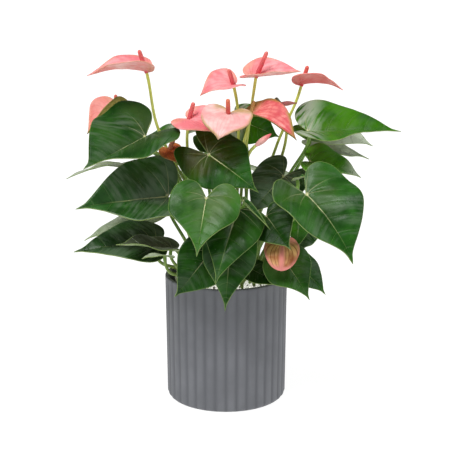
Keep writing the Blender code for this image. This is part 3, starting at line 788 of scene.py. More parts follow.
# %% [markdown]
# ## Turned shapes
#
# Pots are round, so an outline of half of one, turned about an upright axis, gives the whole. A Screw
# modifier does this too, but Spin in a bmesh leaves a finished mesh whose points can be moved next.

# %% Turned shapes
MERGE_CLOSE = 0.00001


def turned(name, profile, steps, shift=(0.0, 0.0)):
    """A closed profile of radii and heights, turned about an upright axis."""
    shape = bmesh.new()
    for radius, height in profile:
        shape.verts.new((radius, 0.0, height))
    shape.verts.ensure_lookup_table()
    edges = [shape.edges.new((a, b)) for a, b in zip(shape.verts, list(shape.verts)[1:])]
    bmesh.ops.spin(shape, geom=list(shape.verts) + edges, axis=(0, 0, 1), cent=(0, 0, 0), steps=steps,
                   angle=math.tau, use_merge=True)
    bmesh.ops.remove_doubles(shape, verts=shape.verts, dist=MERGE_CLOSE)
    bmesh.ops.recalc_face_normals(shape, faces=shape.faces)
    bmesh.ops.translate(shape, verts=shape.verts, vec=(*shift, 0.0))
    return mesh_from(shape, name)


def arc(centre, radius, start, stop, count):
    """Points of a round corner in a profile, with its angles in degrees."""
    angles = [math.radians(start + (stop - start) * k / count) for k in range(count + 1)]
    return [(centre[0] + radius * math.cos(a), centre[1] + radius * math.sin(a)) for a in angles]


print("points in a quarter round of 6 steps:", len(arc((0.0, 0.0), 0.005, 0, 90, 6)))

# %% [markdown]
# ## Cover pot
#
# The cover pot is a straight cup with narrow upright flutes: broad, nearly flat bands that meet in thin
# grooves, which the glaze darkens with painted shade, under a plain rounded lip. An Array of one flute
# bent round would work too. Here the turned cup is given many steps, and every point of its outer wall
# is moved in by a formula, so the grooves run out smoothly just under the lip. How near a point is to a
# crest is stored for the glaze's painted shade.
# The sizes are those of the solid, so that the dressed pot sits exactly where the plain one is.

# %% Cover pot
POT_HEIGHT = 0.1395
POT_RADIUS_TOP = 0.0675
POT_RADIUS_BASE = 0.0662
POT_WALL = 0.0040
POT_FLOOR = 0.0050
POT_FOOT_ROUND = 0.0058
POT_LIP = 0.0030
FLUTES = 36
FLUTE_DEPTH = 0.0012
STEPS_PER_FLUTE = 12
WALL_ROWS = 24
GROOVE_END = 0.0015     # height over which the grooves run out under the lip


def flute_depth(angle):
    """How deep the wall lies under the flutes' crests at a compass angle."""
    phase = (angle / math.tau * FLUTES) % 1.0
    return FLUTE_DEPTH * (1.0 - math.sin(math.pi * phase))


def pot_profile():
    """The cup's outline: inside from the floor up, over the lip, and down the outer wall to the base."""
    lip = POT_LIP / 2
    foot = POT_FOOT_ROUND
    inner = POT_RADIUS_TOP - POT_WALL
    taper = POT_RADIUS_TOP - POT_RADIUS_BASE
    profile = [(0.0, POT_FLOOR), (inner - taper - foot / 2, POT_FLOOR)]
    profile += arc((inner - taper - foot / 2, POT_FLOOR + foot / 2), foot / 2, -90, 0, 6)
    profile += arc((inner + lip, POT_HEIGHT - lip), lip, 180, 90, 5)
    profile += arc((POT_RADIUS_TOP - lip, POT_HEIGHT - lip), lip, 90, 0, 6)
    top = POT_HEIGHT - POT_LIP
    profile += [(POT_RADIUS_TOP - taper * k / WALL_ROWS, top + (foot - top) * k / WALL_ROWS)
                for k in range(WALL_ROWS)]
    profile += arc((POT_RADIUS_BASE - foot, foot), foot, 0, -90, 10)
    return profile + [(0.0, 0.0)]


print("cover pot:", 2000 * POT_RADIUS_TOP, "mm wide,", 1000 * POT_HEIGHT, "mm high")

# %% Fluted wall
cup = turned("cover_pot_fluted", pot_profile(), FLUTES * STEPS_PER_FLUTE)
# How near each point is to a crest, stored for the glaze's painted shade in the grooves.
crest = cup.attributes.new("crest", "FLOAT", "POINT")
for vertex in cup.vertices:
    radius = math.hypot(vertex.co.x, vertex.co.y)
    crest.data[vertex.index].value = 1.0
    if radius > POT_RADIUS_BASE - POT_FOOT_ROUND / 2:
        fade = min(1.0, max(0.0, (POT_HEIGHT - POT_LIP - vertex.co.z) / GROOVE_END))
        depth = flute_depth(math.atan2(vertex.co.y, vertex.co.x))
        crest.data[vertex.index].value = 1.0 - depth / FLUTE_DEPTH
        scale = 1.0 - fade * depth / radius
        vertex.co.x *= scale
        vertex.co.y *= scale
piece("cover_pot_fluted", cup, "cover_pot", "cover_pot", GLAZE)
print("faces of the cover pot:", len(cup.polygons))

# %% [markdown]
# ## Grower's pot
#
# Inside stands the thin pot that the plant grew in, of which only the pale rim shows, a little off
# centre. It is turned from its outline like the cover pot, with a band round its rim that keeps so thin
# a wall stiff, and its edges are rounded because moulded plastic has no sharp ones.

# %% Grower's pot
GROWER_SHIFT = (0.0022, -0.0010)
GROWER_RADIUS_TOP = 0.0590
GROWER_RADIUS_BASE = 0.0480
GROWER_HEIGHT = 0.1305
GROWER_WALL = 0.0012
GROWER_RIM_WIDTH = 0.0016
GROWER_RIM_HEIGHT = 0.0060
GAP = 0.0003            # between pieces that stand on each other
RIM_ROUND = 0.0004
GROWER_STEPS = 128


def grower_profile():
    """The thin pot's outline, inside and outside, with a thicker band at its rim."""
    base = POT_FLOOR + GAP
    top = base + GROWER_HEIGHT
    rim = GROWER_RIM_WIDTH
    band_low = top - GROWER_RIM_HEIGHT
    inner_top = GROWER_RADIUS_TOP - rim - GROWER_WALL
    edge = RIM_ROUND
    profile = [(0.0, base + GROWER_WALL), (GROWER_RADIUS_BASE - GROWER_WALL, base + GROWER_WALL)]
    profile += arc((inner_top + edge, top - edge), edge, 180, 90, 3)
    profile += arc((GROWER_RADIUS_TOP - edge, top - edge), edge, 90, 0, 3)
    profile += [(GROWER_RADIUS_TOP, band_low), (GROWER_RADIUS_TOP - rim, band_low)]
    return profile + [(GROWER_RADIUS_BASE, base), (0.0, base)]


inner_pot = turned("grower_pot_shell", grower_profile(), GROWER_STEPS, GROWER_SHIFT)
piece("grower_pot_shell", inner_pot, "grower_pot", "grower_pot", PLASTIC)
print("faces of the grower's pot:", len(inner_pot.polygons))

# %% [markdown]
# ## Filling of the pot
#
# The pot is filled with mix: a low mound with a rough top, covered in grains. The mound is turned like
# the pots, in fine rings, and noise moves its top up and down. A Displace modifier could roughen it as
# well, but this way one formula gives the height for the mound, the grains and the stems.

# %% Mound of mix
MIX_TOP = 0.1342
MIX_MOUND = 0.0035          # how much higher its middle is
MIX_CLEAR = 0.0014          # between the mix and the thin pot's wall
MIX_EDGE = GROWER_RADIUS_TOP - GROWER_RIM_WIDTH - GROWER_WALL - MIX_CLEAR
MOUND_RINGS = 30
MOUND_STEPS = 120
MOUND_SINKS = 0.0006        # the mound lies a little under the grains
TOP_MARGIN = 0.0001         # points this near to the top belong to it
MOUND_BUMPS = (0.0007, 400.0)   # their height, and how many to the metre
MOUND_GRAIN = 0.14          # its number for the finish, which makes it white


def mix_height(x, y):
    """Height of the mix's mounded top at a place."""
    radius = math.hypot(x - GROWER_SHIFT[0], y - GROWER_SHIFT[1])
    return MIX_TOP + MIX_MOUND * max(0.0, 1.0 - (radius / GROWER_RADIUS_TOP) ** 2)


def mound():
    """The filling under the grains, with a rough top."""
    base = POT_FLOOR + 2 * GAP + GROWER_WALL
    slope = (GROWER_RADIUS_TOP - GROWER_RADIUS_BASE) / GROWER_HEIGHT
    top = [(MIX_EDGE * k / MOUND_RINGS, MIX_TOP) for k in range(MOUND_RINGS + 1)]
    profile = [(0.0, MIX_TOP)] + top[1:] + [(MIX_EDGE - slope * (MIX_TOP - base), base), (0.0, base)]
    mesh = turned("mix_mound", profile, MOUND_STEPS, GROWER_SHIFT)
    grain = mesh.attributes.new("grain", "FLOAT", "POINT")
    for vertex in mesh.vertices:
        if vertex.co.z > MIX_TOP - TOP_MARGIN:
            rough = MOUND_BUMPS[0] * noise.noise(vertex.co * MOUND_BUMPS[1])
            vertex.co.z = mix_height(vertex.co.x, vertex.co.y) - MOUND_SINKS + rough
        grain.data[vertex.index].value = MOUND_GRAIN
    return mesh


piece("mix_mound", mound(), "potting_mix", "potting_mix", MIX)
print("mound:", round(2000 * MIX_EDGE, 1), "mm wide")

# %% [markdown]
# ## Grains
#
# The grains are small crushed balls, most of them white and some brown. They are strewn by a seeded
# random draw, so that they lie the same way each time. Particles could strew them as well, but one
# joined mesh is easier to hand on. Noise at each corner's own place dents the balls, so no two grains
# are alike.

# %% One grain
GRAIN_SIZES = (0.0007, 0.0024)
GRAIN_RISE = 0.15           # how far a grain's middle is over the mix, as a share of its size
GRAIN_SINKS = 0.0002
CRUSH = (0.35, 900.0)       # how deep the dents are, and how many to the metre


def grain_shape(draw):
    """A random place, turn, size and squash for one grain."""
    radius = (MIX_EDGE - GRAIN_SIZES[1]) * math.sqrt(draw.random())
    angle = draw.uniform(0.0, math.tau)
    x = GROWER_SHIFT[0] + radius * math.cos(angle)
    y = GROWER_SHIFT[1] + radius * math.sin(angle)
    size = draw.triangular(*GRAIN_SIZES, GRAIN_SIZES[0])
    place = Matrix.Translation((x, y, mix_height(x, y) + GRAIN_RISE * size - GRAIN_SINKS))
    turn = Matrix.Rotation(draw.uniform(0.0, math.tau), 4, Vector((draw.random(), draw.random(), 1.0)))
    squash = Matrix.Diagonal((size, size * draw.uniform(0.6, 1.0), size * draw.uniform(0.5, 0.9), 1.0))
    return place @ turn @ squash


def crushed(corner, shape):
    """A corner of a round ball, moved to its grain's place and dented."""
    point = shape @ corner
    dent = 1.0 + CRUSH[0] * noise.noise(point * CRUSH[1])
    return shape.translation + (point - shape.translation) * dent


print("grains from", round(2000 * GRAIN_SIZES[0], 1), "to", round(2000 * GRAIN_SIZES[1], 1), "mm wide")

# %% All the grains
GRAINS = 2300
GRAIN_SEED = 11


def grains():
    """Many small crushed balls in one mesh, each with its own random number for its colour."""
    draw = random.Random(GRAIN_SEED)
    ball = bmesh.new()
    bmesh.ops.create_icosphere(ball, subdivisions=2, radius=1.0)
    corners = [vertex.co.copy() for vertex in ball.verts]
    sides = [[vertex.index for vertex in face.verts] for face in ball.faces]
    ball.free()
    points, faces, kinds = [], [], []
    for _ in range(GRAINS):
        shape = grain_shape(draw)
        faces += [[len(points) + index for index in side] for side in sides]
        points += [crushed(corner, shape) for corner in corners]
        kinds += [draw.random()] * len(corners)
    mesh = bpy.data.meshes.new("mix_grains")
    mesh.from_pydata(points, [], faces)
    mesh.attributes.new("grain", "FLOAT", "POINT").data.foreach_set("value", kinds)
    mesh.shade_smooth()
    return mesh


piece("mix_grains", grains(), "potting_mix", "potting_mix", MIX)
print("grains:", GRAINS)

# %% [markdown]
# ## Outlines of the blades
#
# An anthurium's leaf is heart-shaped, with two round lobes and a long drip tip that lets rain run off,
# and the spathe is a plainer heart. One old bloom is blown up into a dome. Half an outline is enough,
# because the other half mirrors it. It is given by a few points, and a Bezier curve that passes
# smoothly through them gives the rest.

# %% Outlines
# Half outlines from the notch to the tip, across and along, where the midrib is 1 long
LEAF_OUTLINE = ((0.06, -0.12), (0.12, -0.225), (0.22, -0.285), (0.34, -0.250), (0.455, -0.08),
                (0.49, 0.13), (0.455, 0.36), (0.330, 0.58), (0.190, 0.74), (0.092, 0.835), (0.042, 0.895),
                (0.020, 0.95), (0.0, 1.0))
SPATHE_OUTLINE = ((0.06, -0.10), (0.11, -0.165), (0.19, -0.205), (0.31, -0.20), (0.43, -0.11),
                  (0.50, 0.08), (0.495, 0.28), (0.43, 0.49), (0.30, 0.68), (0.165, 0.81), (0.075, 0.895),
                  (0.028, 0.95), (0.0, 1.0))
DOME_OUTLINE = ((0.06, -0.10), (0.12, -0.19), (0.22, -0.24), (0.35, -0.22), (0.45, -0.10), (0.52, 0.10),
                (0.53, 0.32), (0.48, 0.54), (0.39, 0.73), (0.26, 0.87), (0.12, 0.945), (0.04, 0.965),
                (0.0, 0.975))
OUTLINE_HALF_WIDTH = 0.49
print("points given for half a leaf:", len(LEAF_OUTLINE))

# %% Smooth outline
OUTLINE_STEPS = 5
DRIP_SPAN = (0.35, 0.75)    # where on the midrib a blade starts to narrow, and has narrowed in full
PLAIN_DRIP = 0.12           # how much narrower a blade is towards its tip; below 0 it is broader
DRIP_TIPS = {"leaf_09": 0.40, "leaf_10": 0.28, "leaf_11": 0.36, "leaf_12": 0.25, "leaf_15": 0.0,
             "leaf_16": 0.22, "leaf_24": 0.34, "leaf_30": 0.30, "leaf_31": 0.30, "leaf_32": 0.30,
             "bloom_04": -0.22, "bloom_05": 0.05, "bloom_10": 0.0}


def smooth_line(points, steps):
    """A smooth curve through points, with as many steps between each pair."""
    ends = [2 * points[0] - points[1]] + points + [2 * points[-1] - points[-2]]
    line = []
    for before, start, stop, after in zip(ends, ends[1:], ends[2:], ends[3:]):
        first_handle = start + (stop - before) / 6
        second_handle = stop - (after - start) / 6
        line += interpolate_bezier(start, first_handle, second_handle, stop, steps + 1)[:-1]
    return line + [points[-1]]


def narrowed(along, drip):
    """What is left of a blade's width at a place along its midrib."""
    start, stop = DRIP_SPAN
    share = min(1.0, max(0.0, (along - start) / (stop - start)))
    return 1.0 - drip * share * share * (3.0 - 2.0 * share)


def full_outline(outline, widen, lobe, drip):
    """Both halves of an outline from notch to notch, widened, with its lobes and tip drawn out."""
    points = [Vector((x * widen * narrowed(y, drip), y * lobe if y < 0.0 else y, 0.0))
              for x, y in outline]
    half = smooth_line(points, OUTLINE_STEPS)
    return [Vector((-p.x, p.y, 0.0)) for p in half] + list(reversed(half[:-1]))


print("points round a leaf:", len(full_outline(LEAF_OUTLINE, 1.0, 1.0, 0.0)))

# %% [markdown]
# ## Lift of a blade
#
# A flat blade would look cut from card. On the plant the two halves fold up from the midrib and curl
# down again, the midrib arches, the margin ripples, the skin swells between the veins, and no two
# blades have the same dips. All of these are heights above the flat blade, so they are simply added
# up at each point. The swelling uses the same sums as the finish's veins, so both lie in one place.

# %% Lift
LOBES_LEVEL = 6.0               # how soon the midrib's arch levels out behind the joint, in the lobes
WAVE_RATE = 9.0                 # radians of ripple in one midrib length
WAVE_STARTS = (0.7, 2.6)        # the two halves ripple out of step


def blade_axes(junction, tip, face):
    """Axes of a blade: across it, along its midrib and out of its upper side."""
    along = (tip - junction).normalized()
    up = (face - along * face.dot(along)).normalized()
    return along.cross(up), along, up


def blade_lift(across, along, start, spec, curl, wave):
    """Height of a blade above its flat shape, all in midrib lengths."""
    if along > 0.0:
        midrib = 4 * spec.arch * along * (1.0 - along)
    else:
        midrib = 4 * spec.arch * along / (1.0 - LOBES_LEVEL * along)
    halves = spec.fold * across - curl * across * across
    return midrib + halves + wave * across * math.sin(WAVE_RATE * along + start)


print("ripples along a margin, about:", round(WAVE_RATE / math.tau, 1))

# %% Swelling and dips
# Midrib lengths: heights, and how far from the midrib or the joint they are reached
SWELL_HEIGHT, SWELL_FULL = 0.014, 0.12
FAN_FULL = 0.15
SPATHE_SWELL, SPATHE_FULL = 0.004, 0.10
GROOVE_DEPTH, GROOVE_WIDTH = 0.010, 0.022
# Height in metres, and how many to the metre
BROAD_DIPS = (0.0011, 42.0)
FINE_DIPS = (0.00045, 115.0)


def leaf_swell(across, along, ring):
    """How far the skin swells between a leaf's veins, in midrib lengths."""
    start = along - VEIN_SLOPE * across - VEIN_BEND * across * across
    if start > 0.0:
        swell = math.sin(math.pi * SIDE_VEINS * start) ** 2
    else:
        swell = math.sin(math.pi * math.atan2(-start, across) / math.radians(FAN_ANGLES[1])) ** 2
        swell *= min(1.0, math.hypot(start, across) / FAN_FULL)
    groove = GROOVE_DEPTH * math.exp(-(across / GROOVE_WIDTH) ** 2) * max(0.0, 1.0 - along)
    return SWELL_HEIGHT * swell * min(1.0, across / SWELL_FULL) * (1.0 - ring ** 3) - groove


def spathe_swell(across, along, ring):
    """The same for a spathe, whose veins run from joint to tip in arcs."""
    angle = math.atan2(across, across * across + along * along - along)
    ridges = math.cos(2 * SPATHE_ARCS * math.pi * angle)
    return SPATHE_SWELL * ridges * min(1.0, across / SPATHE_FULL) * (1.0 - ring ** 3)


def unevenness(place):
    """Small random dips and bumps of a living blade, in metres: broad ones and finer ones."""
    return sum(height * noise.noise(place * scale) for height, scale in (BROAD_DIPS, FINE_DIPS))


print("swelling between two side veins:", round(leaf_swell(0.2, 0.6, 0.5), 4), "midrib lengths")

# %% [markdown]
# ## Blade surface
#
# Leaf and spathe share one build. A flat grid is wrapped round the joint like an opened fan: its
# columns run from the joint out to the margin, and its rows follow the outline. That puts rows of faces
# along the margin, where the eye looks for a clean curve; a heart cut out of a square grid would have a
# stepped edge. Then every point is lifted. The sheet gets its thickness from a Solidify modifier, which
# can also give the under side and the rim their own finishes.

# %% Margin and facing
def margin_distance(edge, column, ring):
    """How far a place in the grid is from the margin or the notch, in midrib lengths."""
    last = len(edge) - 1
    rim = edge[column]
    run = (edge[min(column + 1, last)] - edge[max(column - 1, 0)]).normalized()
    nearest_notch = edge[0] if column * 2 < last else edge[-1]
    turn = rim.angle(nearest_notch, 0.0)
    to_notch = (rim * ring).length * (math.sin(turn) if turn < math.pi / 2 else 1.0)
    return min((1.0 - ring) * rim.cross(run).length, to_notch)


def face_towards(shape, up):
    """Turns a sheet's faces so that they look towards its upper side."""
    bmesh.ops.recalc_face_normals(shape, faces=shape.faces)
    facing = sum((face.normal * face.calc_area() for face in shape.faces), Vector())
    if facing.dot(up) < 0.0:
        bmesh.ops.reverse_faces(shape, faces=shape.faces)


leaf_edge = full_outline(LEAF_OUTLINE, 1.0, 1.0, 0.0)
halfway_out = margin_distance(leaf_edge, len(leaf_edge) // 4, 0.5)
print("from halfway out to a leaf's margin:", round(halfway_out, 3), "midrib lengths")

# %% Blade
MERGE_SAME = 0.000002
MILLIMETRES = 1000.0    # in a metre
DIPS_FADE = 3.0         # how soon the random dips set in, away from the joint


def blade_mesh(name, spec, outline, rows, curl, wave, swell):
    """The blade's sheet, with what the finishes read stored on its points."""
    junction = Vector(spec.junction)
    tip = Vector(spec.tip)
    length = (tip - junction).length
    across, along, up = blade_axes(junction, tip, Vector(spec.face))
    drip = DRIP_TIPS.get(spec.name, PLAIN_DRIP)
    edge = full_outline(outline, spec.width / (2 * OUTLINE_HALF_WIDTH * length), spec.lobe, drip)
    columns = len(edge) - 1
    shape = bmesh.new()
    stored = {key: shape.verts.layers.float.new(key) for key in ("across", "along", "margin")}
    bmesh.ops.create_grid(shape, x_segments=columns, y_segments=rows, size=0.5)
    for vertex in shape.verts:
        column = round((vertex.co.x + 0.5) * columns)
        ring = round((vertex.co.y + 0.5) * rows) / rows
        flat = edge[column] * ring
        vertex[stored["across"]] = flat.x
        vertex[stored["along"]] = flat.y
        vertex[stored["margin"]] = MILLIMETRES * length * margin_distance(edge, column, ring)
        start = WAVE_STARTS[0] if flat.x < 0 else WAVE_STARTS[1]
        lift = blade_lift(abs(flat.x), flat.y, start, spec, curl, wave) + swell(abs(flat.x), flat.y, ring)
        place = junction + length * (flat.x * across + flat.y * along + lift * up)
        vertex.co = place + min(1.0, DIPS_FADE * flat.length) * unevenness(place) * up
    bmesh.ops.remove_doubles(shape, verts=shape.verts, dist=MERGE_SAME)
    face_towards(shape, up)
    return mesh_from(shape, name)


def give_thickness(obj, thickness):
    """Makes a sheet a thin solid, with its own finishes on the under side and the rim."""
    solid = obj.modifiers.new("thickness", "SOLIDIFY")
    solid.thickness = thickness
    solid.offset = 0.0
    solid.material_offset = 1
    solid.material_offset_rim = 2


print("a leaf's sheet has", 2 * OUTLINE_STEPS * (len(LEAF_OUTLINE) - 1), "columns")

# %% [markdown]
# ## Stems
#
# A leaf stands on a petiole and a bloom on a stalk. Both rise straight out of the mix, bend in one long
# curve and meet their blade straight from below, so each is a Bezier curve, or two that join where a
# stem has to pass a certain place, swept with a round section. How far the handles of such a curve
# reach says how stiffly it leaves its ends. The stem thickens a little just under the blade, as the
# real joint does.

# %% Way of a stem
HOLE_DEPTH = 0.0137         # how deep a stem stands in the mix
STEM_COLLAR = 0.0020        # how far it rises out of the mix before it bends
STEM_STRAIGHT = 0.0030      # how far it runs straight under its blade
ROOT_HANDLE = 0.40          # handles, as shares of the way between their two ends
END_HANDLE = 0.30
VIA_HANDLE = 0.33
WAY_STEPS = 28
LOW_STEPS, HIGH_STEPS = 18, 12
UP = Vector((0.0, 0.0, 1.0))


def hole_place(root):
    """World place of a stem's foot from its radius and compass angle, at the top of the mix."""
    radius, degrees = root
    x = GROWER_SHIFT[0] + radius * math.cos(math.radians(degrees))
    y = GROWER_SHIFT[1] + radius * math.sin(math.radians(degrees))
    return Vector((x, y, mix_height(x, y)))


def stem_way(root, last, lean, via):
    """A stem's way: up out of the mix, past its via place, and straight along lean at its end."""
    end = last - STEM_STRAIGHT * lean
    hole = hole_place(root)
    collar = hole + STEM_COLLAR * UP
    if via is None:
        reach = (end - collar).length
        way = interpolate_bezier(collar, collar + ROOT_HANDLE * reach * UP,
                                 end - END_HANDLE * reach * lean, end, WAY_STEPS)
    else:
        via = Vector(via)
        low = (via - collar).length
        high = (end - via).length
        heading = (end - collar).normalized()
        way = interpolate_bezier(collar, collar + ROOT_HANDLE * low * UP,
                                 via - VIA_HANDLE * low * heading, via, LOW_STEPS)
        way += interpolate_bezier(via, via + VIA_HANDLE * high * heading,
                                  end - VIA_HANDLE * high * lean, end, HIGH_STEPS)[1:]
    return [hole - HOLE_DEPTH * UP] + way + [last]


print("mix under a stem in the middle:", round(1000 * hole_place((0.0, 0.0)).z, 1), "mm up")

# %% Stem
PETIOLE_RADII = (0.0021, 0.0016)
STALK_RADII = (0.0019, 0.0015)
SWELLING_AT = (0.95, 0.05)      # where on the way a stem is thickest, and how far that reaches


def stem_mesh(name, way, radii, swelling):
    """A round stem along a way, from the first radius to the second, swollen under its blade."""
    curve = bpy.data.curves.new(name, "CURVE")
    curve.dimensions = "3D"
    curve.bevel_depth = radii[0]
    curve.bevel_resolution = 3
    curve.use_fill_caps = True
    spline = curve.splines.new("POLY")
    spline.points.add(len(way) - 1)
    for number, (point, place) in enumerate(zip(spline.points, way)):
        share = number / (len(way) - 1)
        radius = radii[0] + (radii[1] - radii[0]) * share
        swollen = 1.0 + swelling * math.exp(-((share - SWELLING_AT[0]) / SWELLING_AT[1]) ** 2)
        point.co = (*place, 1.0)
        point.radius = radius * swollen / radii[0]
    rod = bpy.data.objects.new(name, curve)
    scene.collection.objects.link(rod)
    depsgraph = bpy.context.evaluated_depsgraph_get()
    mesh = bpy.data.meshes.new_from_object(rod.evaluated_get(depsgraph), depsgraph=depsgraph)
    bpy.data.objects.remove(rod)
    bpy.data.curves.remove(curve)
    mesh.materials.clear()
    mesh.name = name
    return mesh


print("stems taper from", 2000 * PETIOLE_RADII[0], "to", 2000 * PETIOLE_RADII[1], "mm")

# %% [markdown]
# ## The list of leaves
#
# A leaf is described by where its stem meets the blade, where its tip is and which way its upper side
# faces. The photograph fixes the first two in the picture, and the third decides how much of the blade
# is seen. Width is the blade's, and root is where the stem leaves the mix: how far from the grower's
# pot's middle, and at which compass angle. Fold lifts the two halves off the midrib, arch bends the
# midrib, lobe stretches the two lobes, and via is a place that the stem bends past. The tone says which
# finish the upper side wears. Each leaf could be modelled by hand, but from such a list one build makes
# them all, and a leaf can be moved by changing one row.

# %% Leaves at the left
Leaf = namedtuple("Leaf", "name tone junction tip face width root fold arch lobe via",
                  defaults=(0.20, 0.05, 1.0, None))
LEFT_LEAVES = (
    Leaf("leaf_01", "calm", (-0.086, -0.015, 0.294), (-0.148, -0.055, 0.266), (0.1, -0.3, 1.0), 0.108,
         root=(0.037, 184), fold=0.62, arch=0.0, lobe=1.1, via=(-0.058, 0.020, 0.252)),
    Leaf("leaf_02", "pale", (-0.115, 0.020, 0.258), (-0.174, 0.000, 0.246), (-0.1, 0.1, 1.0), 0.044,
         root=(0.037, 165), via=(-0.062, 0.024, 0.215)),
    Leaf("leaf_03", "dusty", (-0.062, -0.030, 0.232), (-0.159, -0.045, 0.222), (0.0, -0.8, 0.9), 0.084,
         root=(0.037, 200), fold=0.65, arch=0.02, lobe=0.5),
    Leaf("leaf_04", "pale", (-0.086, 0.040, 0.195), (-0.160, 0.030, 0.168), (0.0, -0.1, 1.0), 0.056,
         root=(0.047, 172)),
    Leaf("leaf_05", "worn", (-0.077, -0.030, 0.179), (-0.163, -0.040, 0.173), (0.0, -0.3, 0.9), 0.080,
         root=(0.047, 196), fold=0.35, arch=0.04, lobe=0.5, via=(-0.071, -0.027, 0.159)),
    Leaf("leaf_06", "dusky", (-0.057, -0.050, 0.178), (-0.113, -0.085, 0.193), (0.1, -0.1, 1.0), 0.050,
         root=(0.047, 214), fold=0.40, arch=0.03, lobe=0.7, via=(-0.053, -0.046, 0.160)),
    Leaf("leaf_07", "pale", (-0.062, -0.078, 0.180), (-0.085, -0.106, 0.184), (0.0, 0.1, 1.0), 0.024,
         root=(0.047, 230), fold=0.10, lobe=0.4, via=(-0.058, -0.073, 0.160)),
)
print("leaves at the left:", len(LEFT_LEAVES))

# %% Leaves at the front
FRONT_LEAVES = (
    Leaf("leaf_08", "deep", (-0.017, -0.078, 0.183), (-0.053, -0.095, 0.140), (0.3, -0.9, 0.3), 0.056,
         root=(0.047, -118), arch=0.04, lobe=0.6),
    Leaf("leaf_09", "bright", (-0.020, -0.084, 0.242), (-0.029, -0.129, 0.192), (-0.05, -0.9, 0.5), 0.073,
         root=(0.037, -116), fold=0.35, arch=0.03, lobe=0.9, via=(-0.032, -0.064, 0.205)),
    Leaf("leaf_10", "deep", (0.012, -0.074, 0.228), (-0.011, -0.125, 0.161), (-0.05, -0.9, 0.4), 0.062,
         root=(0.037, -92), fold=0.10, lobe=0.2),
    Leaf("leaf_11", "deep", (0.005, -0.084, 0.200), (-0.001, -0.104, 0.127), (0.0, -1.0, 0.2), 0.056,
         root=(0.047, -90), fold=0.15, arch=0.04),
    Leaf("leaf_12", "aged", (-0.018, -0.040, 0.279), (0.034, -0.074, 0.245), (0.1, -0.9, 0.45), 0.068,
         root=(0.026, -118), fold=0.15, arch=0.04, lobe=1.6),
    Leaf("leaf_13", "fresh", (0.019, 0.034, 0.303), (0.059, 0.028, 0.287), (0.05, -1.0, 0.2), 0.044,
         root=(0.014, 0), fold=0.15, lobe=1.2, via=(0.024, 0.024, 0.252)),
)
print("leaves at the front:", len(FRONT_LEAVES))

# %% Leaves at the right
RIGHT_LEAVES = (
    Leaf("leaf_14", "worn", (0.062, -0.014, 0.251), (0.024, -0.054, 0.216), (-0.2, -0.8, 0.5), 0.060,
         root=(0.026, -12), fold=0.25, arch=0.04, lobe=1.2),
    Leaf("leaf_15", "mid", (0.083, -0.066, 0.242), (0.129, -0.106, 0.178), (0.42, -0.9, 0.5), 0.088,
         root=(0.037, -34), fold=0.55, arch=0.10, lobe=1.0),
    Leaf("leaf_16", "fresh", (0.088, -0.005, 0.298), (0.187, -0.010, 0.299), (0.0, -0.3, 0.95), 0.090,
         root=(0.026, 14), fold=0.50, arch=0.01, lobe=0.50, via=(0.067, 0.002, 0.246)),
    Leaf("leaf_17", "silver", (0.096, 0.042, 0.298), (0.163, 0.035, 0.276), (0.0, -0.55, 0.8), 0.052,
         root=(0.037, 30), fold=0.20),
    Leaf("leaf_18", "pale", (0.103, 0.048, 0.269), (0.162, 0.058, 0.257), (0.0, -0.2, 1.0), 0.050,
         root=(0.047, 22), fold=0.30),
    Leaf("leaf_19", "tipped", (0.090, -0.008, 0.266), (0.145, -0.016, 0.250), (0.1, -0.4, 0.9), 0.058,
         root=(0.037, 0), fold=0.36, lobe=0.5, via=(0.075, 0.008, 0.236)),
    Leaf("leaf_20", "mid", (0.074, -0.037, 0.251), (0.084, -0.048, 0.257), (0.0, -0.2, 1.0), 0.012,
         root=(0.026, -34), fold=0.60, lobe=0.5, via=(0.064, -0.053, 0.222)),
    Leaf("leaf_21", "shade", (0.042, -0.060, 0.218), (0.066, -0.098, 0.191), (-0.2, -0.8, 0.5), 0.053,
         root=(0.037, -50), fold=0.25, lobe=0.6),
    Leaf("leaf_22", "fresh", (0.078, -0.026, 0.211), (0.074, -0.052, 0.177), (0.1, -0.9, 0.4), 0.028,
         root=(0.037, -16), fold=0.10),
    Leaf("leaf_23", "dusty", (0.082, -0.002, 0.184), (0.110, -0.006, 0.188), (0.0, -0.5, 0.9), 0.042,
         root=(0.047, 4), via=(0.070, 0.006, 0.165)),
    Leaf("leaf_24", "bright", (0.060, -0.054, 0.170), (0.088, -0.070, 0.129), (0.3, -0.8, 0.5), 0.055,
         root=(0.047, -42), lobe=0.7),
    Leaf("leaf_25", "mid", (0.074, -0.018, 0.157), (0.108, -0.030, 0.123), (0.3, -0.7, 0.6), 0.042,
         root=(0.047, -12)),
    Leaf("leaf_26", "shade", (0.026, -0.050, 0.158), (0.058, -0.066, 0.143), (0.1, -0.8, 0.6), 0.028,
         root=(0.047, -72), arch=0.04, lobe=0.4),
)
print("leaves at the right:", len(RIGHT_LEAVES))

